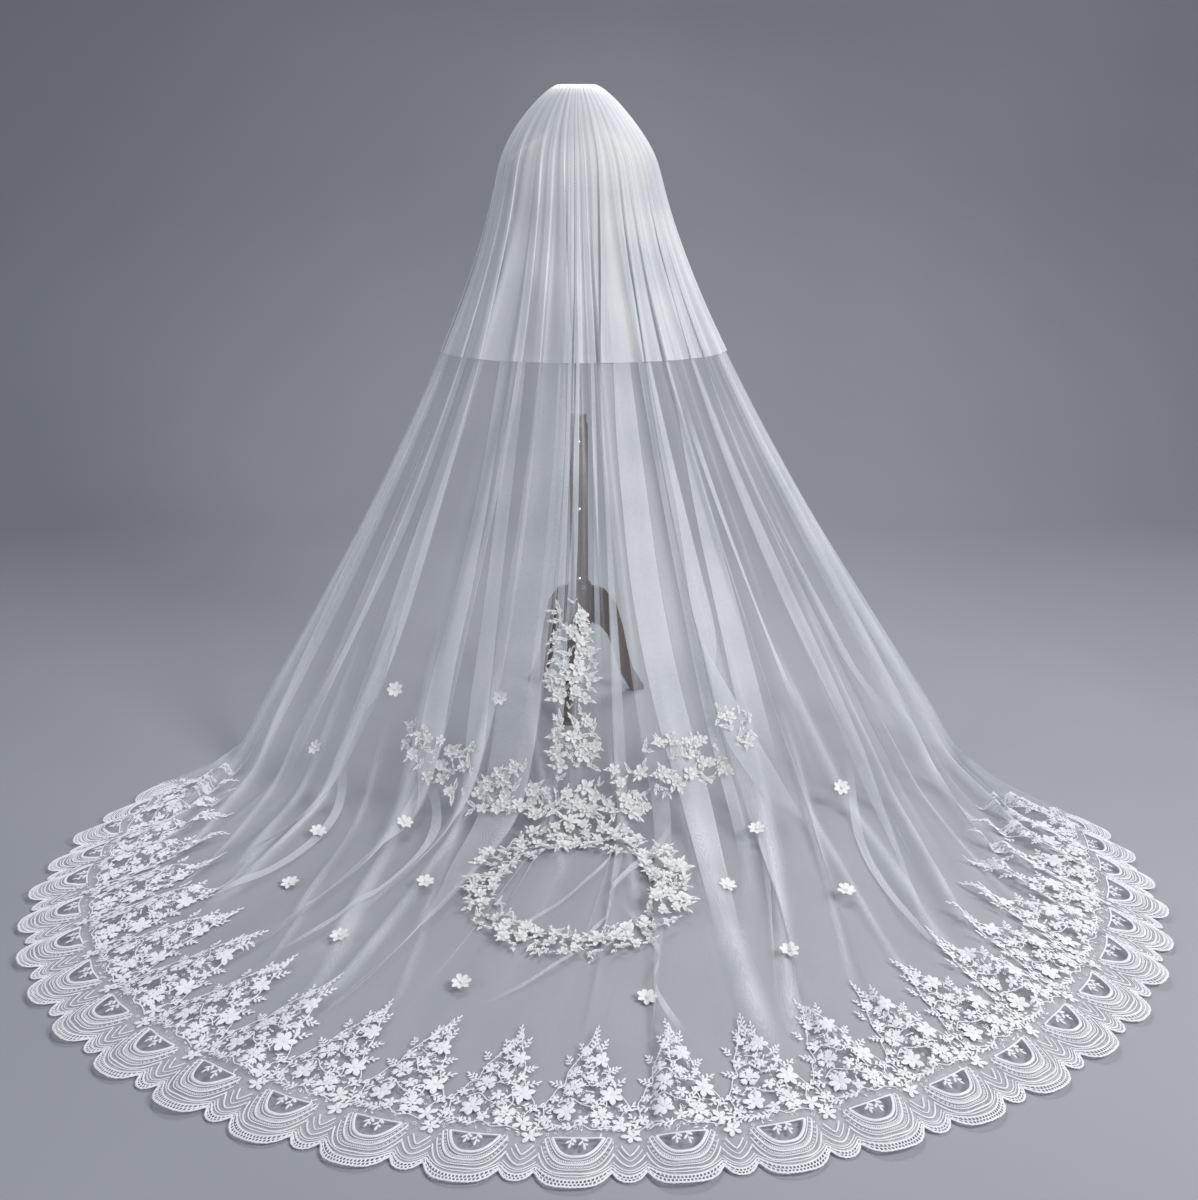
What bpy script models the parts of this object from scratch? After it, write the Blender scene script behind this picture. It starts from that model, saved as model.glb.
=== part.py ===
"""A cathedral bridal veil in two tiers, worn by a limbless dress form.

Metres, +Z up. The train runs toward -Y, the form's front faces +Y, and z = 0 is the floor.
Cloth walls are grids of rings (rows, comb to hem) and folds (columns, left edge to right edge).
"""
import math
from collections import namedtuple

import bmesh
import bpy
from mathutils import Vector

# Cloth
WALL = 0.0018
SEAM_GAP = 0.0003
LACE_WALL = 0.0014
COMB_LIFT = 0.0008
COMB_LIFT_HEIGHT = 1.595
APPLIQUE_WALL = 0.0030
HANG_POWER = 1.35
SIDE_GAIN = 1.3
END_TAPER = 0.86
LIE_HEIGHT = 0.16
SHOULDER_HEIGHT = 1.475
TIER_EDGE_HEIGHT = 1.01

# Place of the dress form's axis in the object's frame
AXIS_X = -0.046
AXIS_Y = 0.843

# Lace border
REPEATS = 28
LACE_LAP = 0.31
FRONT_STRETCH = 0.10

# Dress form
FORM_AXIS_Y = 0.01
ROD_RADIUS = 0.011
POST_RADIUS = 0.025
POST_TOP = 0.83
HUB_TOP = 0.354
HUB_BOTTOM = 0.224
HUB_RADIUS = 0.036
TORSO_BOTTOM = 1.0
NECK_TOP = 1.622
CAP_TOP = 1.640
CAP_RADIUS = 0.056
COMB_TOP = 1.6487
COMB_TEETH = 11
LEG_ANGLES = (-100.0, 20.0, 140.0)
LEG_THICKNESS = 0.024
SCREW_HEIGHTS = (0.760, 0.573, 0.372)

UP = Vector((0, 0, 1))

Ring = namedtuple("Ring", "height centre_x centre_y half_width reach sweep turn swell spread")

# Rings from the comb down to the shoulders. sweep is how far the cloth goes round to each side,
# turn swings the ring round, swell is the height of its folds, and spread goes from 0, where the
# folds lie as they hang, to 1, where they lie even with the lace.
TOP_RINGS = (
    Ring(COMB_TOP + SEAM_GAP, 0.000, 0.024, 0.046, 0.016, 90, 0, 0.0020, 0),
    Ring(1.6415, 0.000, 0.000, 0.061, 0.058, 95, 0, 0.0025, 0),
    Ring(1.6120, 0.000, 0.000, 0.098, 0.080, 98, 0, 0.0035, 0),
    Ring(1.5500, 0.000, 0.000, 0.152, 0.106, 100, 0, 0.0045, 0),
    Ring(SHOULDER_HEIGHT, 0.004, 0.000, 0.196, 0.132, 102, 0, 0.0060, 0),
)
TOUCH_RING = Ring(0.0, 0.050, -0.330, 0.935, 0.420, 95, 0, 0.024, 0.35)
TRAIN_RING = Ring(0.0, 0.050, -0.630, 1.000, 0.835, 102, -3, 0.017, 1)
HEM_RING = Ring(0.0, 0.046, -0.950, 1.208, 0.884, 110, -6, 0.008, 1)
LACE_TIP_RING = Ring(0.0, 0.046, -0.680, 0.860, 0.790, 110, -4, 0.0, 1)
HANG_HEIGHTS = (1.27, TIER_EDGE_HEIGHT, 0.80, 0.60, 0.40, 0.21, 0.06)
HANG_SWELL = 0.030

Fold = namedtuple("Fold", "place width depth")

# Folds up to this width have a single crest line
SHARP_WIDTH = 0.45

# One row for each fold, left to right: where its crest hangs (-1 left edge, 1 right edge), its
# width as a share of the room it has, and its depth as a share of the ring's swell.
FOLDS = (
    Fold(-0.970, 0.45, 0.90), Fold(-0.905, 0.50, 0.60), Fold(-0.835, 0.55, 1.00),
    Fold(-0.765, 0.35, 0.55), Fold(-0.690, 0.60, 0.85), Fold(-0.605, 0.40, 0.60),
    Fold(-0.510, 0.45, 0.90), Fold(-0.385, 0.40, 0.70), Fold(-0.285, 0.55, 0.95),
    Fold(-0.200, 0.50, 0.75), Fold(-0.108, 0.70, 1.10), Fold(-0.052, 0.40, 0.45),
    Fold(-0.008, 0.40, 0.55), Fold(0.035, 0.40, 0.45), Fold(0.090, 0.45, 0.60),
    Fold(0.166, 0.70, 1.15), Fold(0.240, 0.40, 0.55), Fold(0.308, 0.60, 1.00),
    Fold(0.387, 0.45, 0.80), Fold(0.465, 0.50, 0.65), Fold(0.540, 0.45, 0.90),
    Fold(0.610, 0.40, 0.60), Fold(0.680, 0.55, 1.00), Fold(0.750, 0.40, 0.55),
    Fold(0.815, 0.55, 0.90), Fold(0.872, 0.45, 0.60), Fold(0.925, 0.50, 0.95),
    Fold(0.973, 0.45, 0.80),
)

ColumnWidth = namedtuple("ColumnWidth", "height x half_width")

# The centre applique, from its foot up
COLUMN = (
    ColumnWidth(0.140, 0.002, 0.050), ColumnWidth(0.160, 0.004, 0.070),
    ColumnWidth(0.190, 0.002, 0.058),
    ColumnWidth(0.225, -0.008, 0.040), ColumnWidth(0.250, -0.010, 0.016),
    ColumnWidth(0.275, -0.012, 0.040), ColumnWidth(0.310, -0.010, 0.072),
    ColumnWidth(0.350, -0.006, 0.056), ColumnWidth(0.385, -0.008, 0.062),
    ColumnWidth(0.425, -0.012, 0.030), ColumnWidth(0.450, -0.014, 0.036),
    ColumnWidth(0.485, -0.012, 0.010),
)

# Plan points of the U-shaped spray, from its left tip to its right
GARLAND = (
    (-0.400, -0.618), (-0.350, -0.645), (-0.290, -0.672), (-0.220, -0.700), (-0.140, -0.722),
    (-0.060, -0.732), (0.020, -0.734), (0.095, -0.727), (0.165, -0.712), (0.230, -0.686),
    (0.295, -0.658), (0.360, -0.640), (0.425, -0.620),
)
GARLAND_HALF_WIDTH = 0.036
RING_X = 0.010
RING_Y = -1.015
RING_RADIUS = 0.240
RING_INNER_RADIUS = 0.165

Flower = namedtuple("Flower", "x y height turn")
FLOWER_RADIUS = 0.020
FLOWER_LOBES = 6
FLOWER_PANEL_REACH = 0.17
STEEP_HEIGHT = 0.09

# Where each separate flower is sewn, and how it is turned
FLOWERS = (
    Flower(-0.440, -0.560, 0.262, 10), Flower(-0.179, -0.630, 0.266, 40),
    Flower(-0.640, -0.569, 0.112, 0), Flower(-0.396, -0.773, 0.0, 25),
    Flower(-0.319, -0.996, 0.0, 5), Flower(-0.596, -0.779, 0.0, 50),
    Flower(-0.613, -0.985, 0.0, 15), Flower(-0.464, -1.191, 0.0, 35),
    Flower(-0.205, -1.340, 0.0, 20), Flower(0.145, -1.372, 0.0, 45),
    Flower(0.429, -1.240, 0.0, 0), Flower(0.330, -0.999, 0.0, 30),
    Flower(0.417, -0.801, 0.0, 55), Flower(0.639, -0.640, 0.0, 12),
    Flower(0.579, -1.039, 0.0, 28),
)

TorsoLevel = namedtuple("TorsoLevel", "height half_width back front")
TORSO_SIDES = 20
TORSO = (
    TorsoLevel(TORSO_BOTTOM, 0.158, 0.108, 0.104), TorsoLevel(TORSO_BOTTOM + 0.012, 0.166, 0.116, 0.112),
    TorsoLevel(1.070, 0.150, 0.108, 0.104), TorsoLevel(1.140, 0.124, 0.090, 0.094),
    TorsoLevel(1.210, 0.130, 0.096, 0.106), TorsoLevel(1.290, 0.150, 0.110, 0.136),
    TorsoLevel(1.370, 0.168, 0.118, 0.128), TorsoLevel(1.425, 0.182, 0.114, 0.106),
    TorsoLevel(1.463, 0.184, 0.104, 0.092), TorsoLevel(1.490, 0.160, 0.094, 0.080),
    TorsoLevel(1.515, 0.120, 0.082, 0.070), TorsoLevel(1.542, 0.078, 0.068, 0.060),
    TorsoLevel(1.572, 0.057, 0.058, 0.054), TorsoLevel(NECK_TOP, 0.053, 0.054, 0.052),
)

# Side view of a leg: distance from the stand's axis, and height
LEG_PROFILE = (
    (0.0365, 0.340), (0.075, 0.325), (0.108, 0.280), (0.128, 0.210), (0.142, 0.140),
    (0.160, 0.075), (0.196, 0.012), (0.196, 0.0), (0.158, 0.0), (0.128, 0.055),
    (0.108, 0.120), (0.088, 0.180), (0.062, 0.215), (0.0365, 0.230),
)
SCREW_RADIUS = 0.005
COMB_SPINE = 0.006
SHARP_ANGLE = 40

MATERIALS = {
    "tulle": ((0.83, 0.85, 0.90), 0.75, 0.0),
    "lace": ((0.88, 0.89, 0.92), 0.70, 0.0),
    "applique": ((0.92, 0.92, 0.94), 0.60, 0.0),
    "comb_plastic": ((0.86, 0.87, 0.89), 0.30, 0.0),
    "form_linen": ((0.74, 0.69, 0.60), 0.85, 0.0),
    "dark_wood": ((0.085, 0.045, 0.030), 0.42, 0.0),
    "steel": ((0.62, 0.62, 0.64), 0.28, 1.0),
}


def clear_scene():
    for obj in list(bpy.data.objects):
        bpy.data.objects.remove(obj, do_unlink=True)


def material(name):
    made = bpy.data.materials.get(name)
    if made is None:
        colour, roughness, metallic = MATERIALS[name]
        made = bpy.data.materials.new(name)
        made.use_nodes = True
        shader = made.node_tree.nodes["Principled BSDF"]
        shader.inputs["Base Color"].default_value = (*colour, 1.0)
        shader.inputs["Roughness"].default_value = roughness
        shader.inputs["Metallic"].default_value = metallic
    return made


def add_object(name, mesh, slot):
    mesh.materials.append(material(slot).copy())
    obj = bpy.data.objects.new(name, mesh)
    obj.location = (AXIS_X, AXIS_Y, 0.0)
    bpy.context.scene.collection.objects.link(obj)
    return obj


def mesh_from(name, points, faces):
    mesh = bpy.data.meshes.new(name)
    mesh.from_pydata([tuple(p) for p in points], [], faces)
    mesh.update()
    return mesh


def mix(low, high, share):
    return low + (high - low) * share


def mix_rings(first, second, share):
    return Ring(*(mix(a, b, share) for a, b in zip(first, second)))


def hanging_ring(height):
    """A ring between the shoulders and the floor, on the slack curve that the tulle hangs in."""
    drop = 1.0 - height / SHOULDER_HEIGHT
    flare = drop ** HANG_POWER
    shoulder = TOP_RINGS[-1]
    ring = mix_rings(shoulder, TOUCH_RING, flare)
    swell = mix(shoulder.swell, HANG_SWELL, min(1.0, 1.35 * drop))
    return ring._replace(height=height, swell=swell, spread=TOUCH_RING.spread * drop ** 2)


def train_rings():
    """The rings that lie on the floor, from where the cloth lands to the lace's tips."""
    shares = (0.0, 0.28, 0.62)
    return [mix_rings(TOUCH_RING, TRAIN_RING, s) for s in shares]


def lace_ring(share):
    """A ring of the border: share 0 is its outer edge and 1 the tips of its trees."""
    return mix_rings(HEM_RING, TRAIN_RING, share)


def ring_point(ring, place):
    angle = math.radians(place * ring.sweep + ring.turn)
    x = ring.centre_x + ring.half_width * math.sin(angle)
    y = ring.centre_y - ring.reach * math.cos(angle)
    return Vector((x, y, ring.height))


def even_place(share):
    """Place of a share of the border's repeats, which lie widest at the end of the train."""
    place = -1.0 + 2.0 * share
    return place * (1.0 + FRONT_STRETCH * (1.0 - place ** 2))


def fold_room(index):
    """Left and right ends of a fold's room, where the cloth hangs and where it lies even."""
    crest = FOLDS[index].place
    left = -1.0 if index == 0 else (FOLDS[index - 1].place + crest) / 2
    right = 1.0 if index == len(FOLDS) - 1 else (FOLDS[index + 1].place + crest) / 2
    return left, right, even_place(index / len(FOLDS)), even_place((index + 1) / len(FOLDS))


def columns():
    """Each column's hanging place, even place and fold height: a valley, then one crest line on a
    sharp fold or two on a flat-topped one."""
    made = []
    for index, fold in enumerate(FOLDS):
        left, right, even_left, even_right = fold_room(index)
        half = fold.width / 2
        made.append((left, even_left, 0.0))
        shares = (0.5,) if fold.width <= SHARP_WIDTH else (0.5 - half, 0.5 + half)
        for share in shares:
            made.append((mix(left, right, share), mix(even_left, even_right, share), fold.depth))
    made.append((1.0, 1.0, 0.0))
    return made


def side_gain(place, spread):
    """The train's folds stand higher at its sides, where the border is ruffled, but not its ends."""
    near_end = max(0.0, abs(place) - END_TAPER) / (1.0 - END_TAPER)
    return 1.0 + SIDE_GAIN * spread * abs(place) ** 2 - 0.5 * near_end


def base_rows(rings):
    return [[ring_point(r, mix(c[0], c[1], r.spread)) for c in columns()] for r in rings]


def outward(rows, rings):
    """The direction that the wall faces at each grid point, without its folds."""
    normals = []
    for i, ring in enumerate(rings):
        above, below = rows[max(i - 1, 0)], rows[min(i + 1, len(rows) - 1)]
        line = []
        for j in range(len(rows[i])):
            across = rows[i][min(j + 1, len(rows[i]) - 1)] - rows[i][max(j - 1, 0)]
            down = below[j] - above[j]
            lying = max(0.0, 1.0 - ring.height / LIE_HEIGHT)
            line.append(down.cross(across).normalized().lerp(UP, lying).normalized())
        normals.append(line)
    return normals


def skins(rings, lift, thickness):
    """Inner and outer grids of a wall that is lifted off the base form."""
    rows = base_rows(rings)
    normals = outward(rows, rings)
    inner, outer = [], []
    for ring, row, facing in zip(rings, rows, normals):
        rise = [
            ring.swell * side_gain(c[0], ring.spread) * c[2] + lift_at(ring, lift)
            for c in columns()
        ]
        inner.append([p + n * r for p, n, r in zip(row, facing, rise)])
        outer.append([p + n * (r + thickness) for p, n, r in zip(row, facing, rise)])
    return inner, outer


def lift_at(ring, lift):
    return lift(ring) if callable(lift) else lift


def wall_mesh(name, inner, outer):
    """A closed wall between two grids, in triangles whose diagonals all run one way."""
    rows, cols = len(inner), len(inner[0])
    points = [p for grid in (inner, outer) for row in grid for p in row]
    top = rows * cols
    faces = []
    for i in range(rows - 1):
        for j in range(cols - 1):
            a, b = i * cols + j, i * cols + j + 1
            c, d = a + cols, b + cols
            faces += [(a, b, d), (a, d, c)]
            faces += [(top + a, top + d, top + b), (top + a, top + c, top + d)]
    edge = list(range(cols))
    edge += [i * cols + cols - 1 for i in range(1, rows)]
    edge += [(rows - 1) * cols + j for j in range(cols - 2, -1, -1)]
    edge += [i * cols for i in range(rows - 2, 0, -1)]
    for a, b in zip(edge, edge[1:] + edge[:1]):
        faces += [(a, top + b, b), (a, top + a, top + b)]
    return mesh_from(name, points, faces)


def panel_rings():
    rings = list(TOP_RINGS) + [hanging_ring(z) for z in HANG_HEIGHTS] + train_rings()
    return rings + [lace_ring(1.0), lace_ring(LACE_LAP)]


def add_long_tier():
    inner, outer = skins(panel_rings(), 0.0, WALL)
    return add_object("long_tier", wall_mesh("long_tier", inner, outer), "tulle")


def short_lift(ring):
    """The short tier stands off the long one by a seam's gap, and by more round the comb."""
    return WALL + SEAM_GAP + (COMB_LIFT if ring.height > COMB_LIFT_HEIGHT else 0.0)


def add_short_tier():
    """The upper tier is made from the long tier's points, moved out."""
    rings = panel_rings()
    count = sum(ring.height >= TIER_EDGE_HEIGHT for ring in rings)
    inner, outer = skins(rings, short_lift, WALL)
    return add_object("short_tier", wall_mesh("short_tier", inner[:count], outer[:count]), "tulle")


def prism(name, outline, direction, start, length):
    """A closed prism from an outline of points, swept along a direction."""
    near = [Vector(p) + Vector(direction) * start for p in outline]
    bm = bmesh.new()
    face = bm.faces.new([bm.verts.new(p) for p in near])
    swept = bmesh.ops.extrude_face_region(bm, geom=[face])
    moved = [g for g in swept["geom"] if isinstance(g, bmesh.types.BMVert)]
    bmesh.ops.translate(bm, verts=moved, vec=Vector(direction) * length)
    bmesh.ops.recalc_face_normals(bm, faces=bm.faces[:])
    mesh = bpy.data.meshes.new(name)
    bm.to_mesh(mesh)
    bm.free()
    return mesh


def add_cutter(name, mesh):
    cutter = bpy.data.objects.new(name, mesh)
    cutter.location = (AXIS_X, AXIS_Y, 0.0)
    cutter.hide_render = True
    cutter.display_type = "WIRE"
    bpy.context.scene.collection.objects.link(cutter)
    return cutter


def cut(obj, cutter, operation):
    modifier = obj.modifiers.new(operation.lower(), "BOOLEAN")
    modifier.operation = operation
    modifier.solver = "EXACT"
    modifier.object = cutter


def border_rings(at_side):
    """Rows that the border is cut from: over the panel, down off its hem, and out on the floor."""
    over = [mix_rings(TOUCH_RING, TRAIN_RING, 0.62)]
    over += [lace_ring(s) for s in (1.0, LACE_LAP)]
    if at_side:
        over = [hanging_ring(HANG_HEIGHTS[-1])] + train_rings()[:2] + over
    return over + [lace_ring(s) for s in (LACE_LAP - 0.07, -0.03)]


def border_lift(ring):
    """The border lies on the panel, and on the floor where the panel has ended."""
    past_hem = lace_ring(LACE_LAP - 0.01)
    on_panel = ring.reach - ring.centre_y < past_hem.reach - past_hem.centre_y
    return WALL + SEAM_GAP if on_panel else 0.0


# Corners of one repeat of the border: across is 0 to 1 along the repeat, and up is the share of
# the border's height from its outer edge.
SCALLOP = ((0.00, 0.042), (0.16, 0.095), (0.34, 0.008), (0.66, 0.008), (0.84, 0.095))
TREE = ((0.00, 0.36), (0.14, 0.54), (0.28, 0.62), (0.50, 1.00), (0.72, 0.62), (0.86, 0.54))
CRESCENT = ((0.25, 0.285), (0.75, 0.285), (0.66, 0.205), (0.50, 0.172), (0.34, 0.205))


def border_point(repeat, across, up):
    place = even_place((repeat + across) / REPEATS)
    near_end = max(0.0, abs(place) - 0.7) / 0.3
    height = 1.0 - 0.4 * near_end ** 2
    return ring_point(HEM_RING, place).lerp(ring_point(LACE_TIP_RING, place), up * height)


def border_outline(first, last):
    """The border's edge for some repeats: scallops outside, trees inside."""
    inset = 0.004 if first > 0 else 0.02
    outer = [border_point(k, a, u) for k in range(first, last) for a, u in SCALLOP]
    inner = [border_point(k, a, u) for k in range(first, last) for a, u in TREE]
    outer[0] = border_point(first, inset, SCALLOP[0][1])
    inner[0] = border_point(first, inset, TREE[0][1])
    end = 1.0 - (0.004 if last < REPEATS else 0.02)
    outer.append(border_point(last - 1, end, SCALLOP[0][1]))
    inner.append(border_point(last - 1, end, TREE[0][1]))
    return outer + inner[::-1]


def add_border(name, first, last):
    at_side = first == 0 or last == REPEATS
    inner, outer = skins(border_rings(at_side), border_lift, LACE_WALL)
    ends = (even_place(first / REPEATS), even_place(last / REPEATS))
    within = [j for j, c in enumerate(columns()) if ends[0] - 1e-6 <= c[1] <= ends[1] + 1e-6]
    low, high = max(within[0] - 1, 0), min(within[-1] + 2, len(inner[0]))
    trimmed = [[row[low:high] for row in grid] for grid in (inner, outer)]
    border = add_object(name, wall_mesh(name, *trimmed), "lace")
    outline = border_outline(first, last)
    shape = prism(f"{name}_shape", outline, (0, 0, 1), -0.02, 0.30)
    cut(border, add_cutter(f"{name}_shape", shape), "INTERSECT")
    for repeat in range(first, last):
        window = [border_point(repeat, a, u) for a, u in CRESCENT]
        label = f"{name}_window_{repeat}"
        cutter = add_cutter(label, prism(label, window, (0, 0, 1), -0.02, 0.30))
        cut(border, cutter, "DIFFERENCE")
    return border


def nearest_cells(x, y, reach):
    """Rows and columns of the panel whose plan comes within reach of a point, and one more."""
    rings = panel_rings()
    near = [
        (i, j)
        for i, row in enumerate(base_rows(rings))
        for j, p in enumerate(row)
        if rings[i].height < 0.9 and math.hypot(p.x - x, p.y - y) < reach
    ]
    rows = [i for i, _ in near]
    cols = [j for _, j in near]
    last_row, last_col = len(rings) - 1, len(columns()) - 1
    row_ends = max(min(rows) - 1, 0), min(max(rows) + 1, last_row)
    return row_ends, (max(min(cols) - 1, 0), min(max(cols) + 1, last_col))


def rows_below(height):
    """The highest row of the panel under a height, and the row five further down."""
    rows = [i for i, r in enumerate(panel_rings()) if r.height < height]
    return rows[0], rows[0] + 5


def columns_within(place):
    """The first and last columns of the panel that hang within a place of its middle."""
    cols = [j for j, c in enumerate(columns()) if abs(c[0]) < place]
    return cols[0], cols[-1]


def add_applique(name, row_ends, col_ends, outlines, direction):
    """Thick lace cut out of the panel's own form, moved out, by prisms along a direction."""
    inner, outer = skins(panel_rings(), WALL + SEAM_GAP, APPLIQUE_WALL)
    part = [
        [row[col_ends[0]:col_ends[1] + 1] for row in grid[row_ends[0]:row_ends[1] + 1]]
        for grid in (inner, outer)
    ]
    piece = add_object(name, wall_mesh(name, *part), "applique")
    for index, (outline, operation) in enumerate(outlines):
        label = f"{name}_cutter_{index}"
        cutter = add_cutter(label, prism(label, outline, direction, -2.0, 4.0))
        cut(piece, cutter, operation)
    return piece


def star(x, y, radius, lobes, dip, start=0.0):
    """A lobed outline round a point in plan."""
    corners = []
    for k in range(2 * lobes):
        angle = math.radians(start) + math.pi * k / lobes
        r = radius if k % 2 == 0 else radius * dip
        corners.append((x + r * math.cos(angle), y + r * math.sin(angle), 0.0))
    return corners


def add_flowers():
    """Each separate flower, cut along Z where the cloth lies and along Y where it hangs."""
    for index, flower in enumerate(FLOWERS):
        rows, cols = nearest_cells(flower.x, flower.y, FLOWER_PANEL_REACH)
        outline = star(flower.x, flower.y, FLOWER_RADIUS, FLOWER_LOBES, 0.62, flower.turn)
        direction = (0, 0, 1)
        if flower.height > STEEP_HEIGHT:
            outline = [(x, 0.0, flower.height + y - flower.y) for x, y, _ in outline]
            direction = (0, 1, 0)
        add_applique(
            f"flower_{index + 1:02d}", rows, cols, [(outline, "INTERSECT")], direction,
        )


def add_column():
    """The column up the centre back, cut along Y because the cloth hangs steeply there."""
    left = [(c.x - c.half_width, 0.0, c.height) for c in COLUMN]
    right = [(c.x + c.half_width, 0.0, c.height) for c in reversed(COLUMN)]
    add_applique(
        "applique_column", rows_below(0.65), columns_within(0.19),
        [(left + right, "INTERSECT")], (0, 1, 0),
    )


def add_garland():
    """The U-shaped spray: a band with a scalloped edge along a line of plan points."""
    upper, lower = [], []
    for k, (here, after) in enumerate(zip(GARLAND, GARLAND[1:])):
        along = Vector((after[0] - here[0], after[1] - here[1], 0.0)).normalized()
        side = Vector((-along.y, along.x, 0.0))
        middle = Vector(((here[0] + after[0]) / 2, (here[1] + after[1]) / 2, 0.0))
        width = GARLAND_HALF_WIDTH * (1.0 if k % 2 == 0 else 0.72)
        upper.append(middle + side * width)
        lower.append(middle - side * width)
    first, last = Vector((*GARLAND[0], 0.0)), Vector((*GARLAND[-1], 0.0))
    outline = [first] + lower + [last] + upper[::-1]
    add_applique(
        "applique_garland", rows_below(0.45), columns_within(0.66),
        [(outline, "INTERSECT")], (0, 0, 1),
    )


def add_ring_applique():
    """The ring on the train, with an uneven edge inside and out."""
    outer = star(RING_X, RING_Y, RING_RADIUS, 12, 0.93)
    inner = star(RING_X, RING_Y, RING_INNER_RADIUS, 10, 0.90, 10.0)
    rows, cols = nearest_cells(RING_X, RING_Y, RING_RADIUS + 0.12)
    add_applique(
        "applique_ring", rows, cols,
        [(outer, "INTERSECT"), (inner, "DIFFERENCE")], (0, 0, 1),
    )


def solid_from(name, bm, slot):
    bmesh.ops.recalc_face_normals(bm, faces=bm.faces[:])
    bmesh.ops.triangulate(bm, faces=bm.faces[:])
    mesh = bpy.data.meshes.new(name)
    bm.to_mesh(mesh)
    bm.free()
    mesh.shade_smooth()
    mesh.set_sharp_from_angle(angle=math.radians(SHARP_ANGLE))
    return add_object(name, mesh, slot)


def turned(name, profile, sides, slot, centre=(0.0, 0.0), squash=(1.0, 1.0)):
    """A solid turned about Z from a profile of (radius, height), closed by flat ends."""
    bm = bmesh.new()
    loops = []
    for radius, height in profile:
        loop = []
        for k in range(sides):
            angle = 2 * math.pi * k / sides
            x = centre[0] + radius * squash[0] * math.cos(angle)
            y = centre[1] + radius * squash[1] * math.sin(angle)
            loop.append(bm.verts.new((x, y, height)))
        loops.append(loop)
    bridge_and_cap(bm, loops)
    return solid_from(name, bm, slot)


def bridge_and_cap(bm, loops):
    for low, high in zip(loops, loops[1:]):
        for k in range(len(low)):
            after = (k + 1) % len(low)
            bm.faces.new((low[k], low[after], high[after], high[k]))
    bm.faces.new(loops[0])
    bm.faces.new(loops[-1])


def add_torso():
    """The padded half body: rings with a half width and separate depths at back and front."""
    bm = bmesh.new()
    loops = []
    for level in TORSO:
        loop = []
        for k in range(TORSO_SIDES):
            angle = 2 * math.pi * k / TORSO_SIDES
            depth = level.front if math.sin(angle) > 0 else level.back
            x = level.half_width * math.cos(angle)
            y = FORM_AXIS_Y + depth * math.sin(angle)
            loop.append(bm.verts.new((x, y, level.height)))
        loops.append(loop)
    bridge_and_cap(bm, loops)
    solid_from("torso", bm, "form_linen")


def add_stand():
    axis = (0.0, FORM_AXIS_Y)
    edge = 0.003
    cap = [
        (CAP_RADIUS - edge, NECK_TOP + SEAM_GAP), (CAP_RADIUS, NECK_TOP + edge),
        (CAP_RADIUS, CAP_TOP - edge), (CAP_RADIUS - edge, CAP_TOP),
    ]
    turned("neck_cap", cap, 28, "dark_wood")
    rod = [(ROD_RADIUS, POST_TOP + SEAM_GAP), (ROD_RADIUS, TORSO_BOTTOM - SEAM_GAP)]
    turned("rod", rod, 14, "steel", axis)
    neck = POST_RADIUS * 0.86
    post = [
        (POST_RADIUS, HUB_TOP + SEAM_GAP), (POST_RADIUS, POST_TOP - 0.030),
        (neck, POST_TOP - 0.020), (neck, POST_TOP),
    ]
    turned("post", post, 18, "dark_wood", axis)
    hub = [
        (HUB_RADIUS * 0.8, HUB_BOTTOM), (HUB_RADIUS, HUB_BOTTOM + 0.010),
        (HUB_RADIUS, HUB_TOP - 0.012), (HUB_RADIUS * 0.85, HUB_TOP),
    ]
    turned("hub", hub, 18, "dark_wood", axis)


def add_legs():
    """Three curved boards that meet the hub's sides and stand on their feet."""
    for index, degrees in enumerate(LEG_ANGLES):
        out = Vector((math.cos(math.radians(degrees)), math.sin(math.radians(degrees)), 0.0))
        side = Vector((-out.y, out.x, 0.0))
        start = Vector((0.0, FORM_AXIS_Y, 0.0)) - side * LEG_THICKNESS / 2
        outline = [start + out * r + UP * z for r, z in LEG_PROFILE]
        mesh = prism(f"leg_{index + 1}", outline, side, 0.0, LEG_THICKNESS)
        add_object(f"leg_{index + 1}", mesh, "dark_wood")


def add_screws():
    """Bright screw heads on the back of the post."""
    for index, height in enumerate(SCREW_HEIGHTS):
        seat = FORM_AXIS_Y - POST_RADIUS - SEAM_GAP
        bm = bmesh.new()
        loops = []
        for size, out in ((SCREW_RADIUS, 0.0), (SCREW_RADIUS, 0.002), (SCREW_RADIUS * 0.6, 0.0035)):
            loop = []
            for k in range(10):
                angle = 2 * math.pi * k / 10
                x, z = size * math.cos(angle), height + size * math.sin(angle)
                loop.append(bm.verts.new((x, seat - out, z)))
            loops.append(loop)
        bridge_and_cap(bm, loops)
        solid_from(f"screw_{index + 1}", bm, "steel")


def add_comb():
    """The comb under the gathered edge: an arched spine with teeth that lie on the neck cap."""
    floor = CAP_TOP + SEAM_GAP
    edge = [ring_point(TOP_RINGS[0], -0.96 + 1.92 * k / 12) for k in range(13)]
    spine = [(p.x, p.y, floor) for p in edge]
    spine += [(p.x, p.y + COMB_SPINE, floor) for p in edge[::-1]]
    comb = prism("comb", spine, UP, 0.0, COMB_TOP - floor)
    obj = add_object("comb", comb, "comb_plastic")
    for k in range(COMB_TEETH):
        x = mix(-0.036, 0.036, k / (COMB_TEETH - 1))
        root = ring_point(TOP_RINGS[0], math.degrees(math.asin(x / 0.046)) / 90).y + COMB_SPINE / 2
        tip = math.sqrt((CAP_RADIUS - 0.006) ** 2 - x ** 2)
        outline = [(x - 0.0012, root, floor), (x + 0.0012, root, floor)]
        outline += [(x + 0.0008, tip, floor), (x - 0.0008, tip, floor)]
        tooth = add_cutter(f"tooth_{k}", prism(f"tooth_{k}", outline, UP, 0.0, 0.0025))
        cut(obj, tooth, "UNION")


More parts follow.
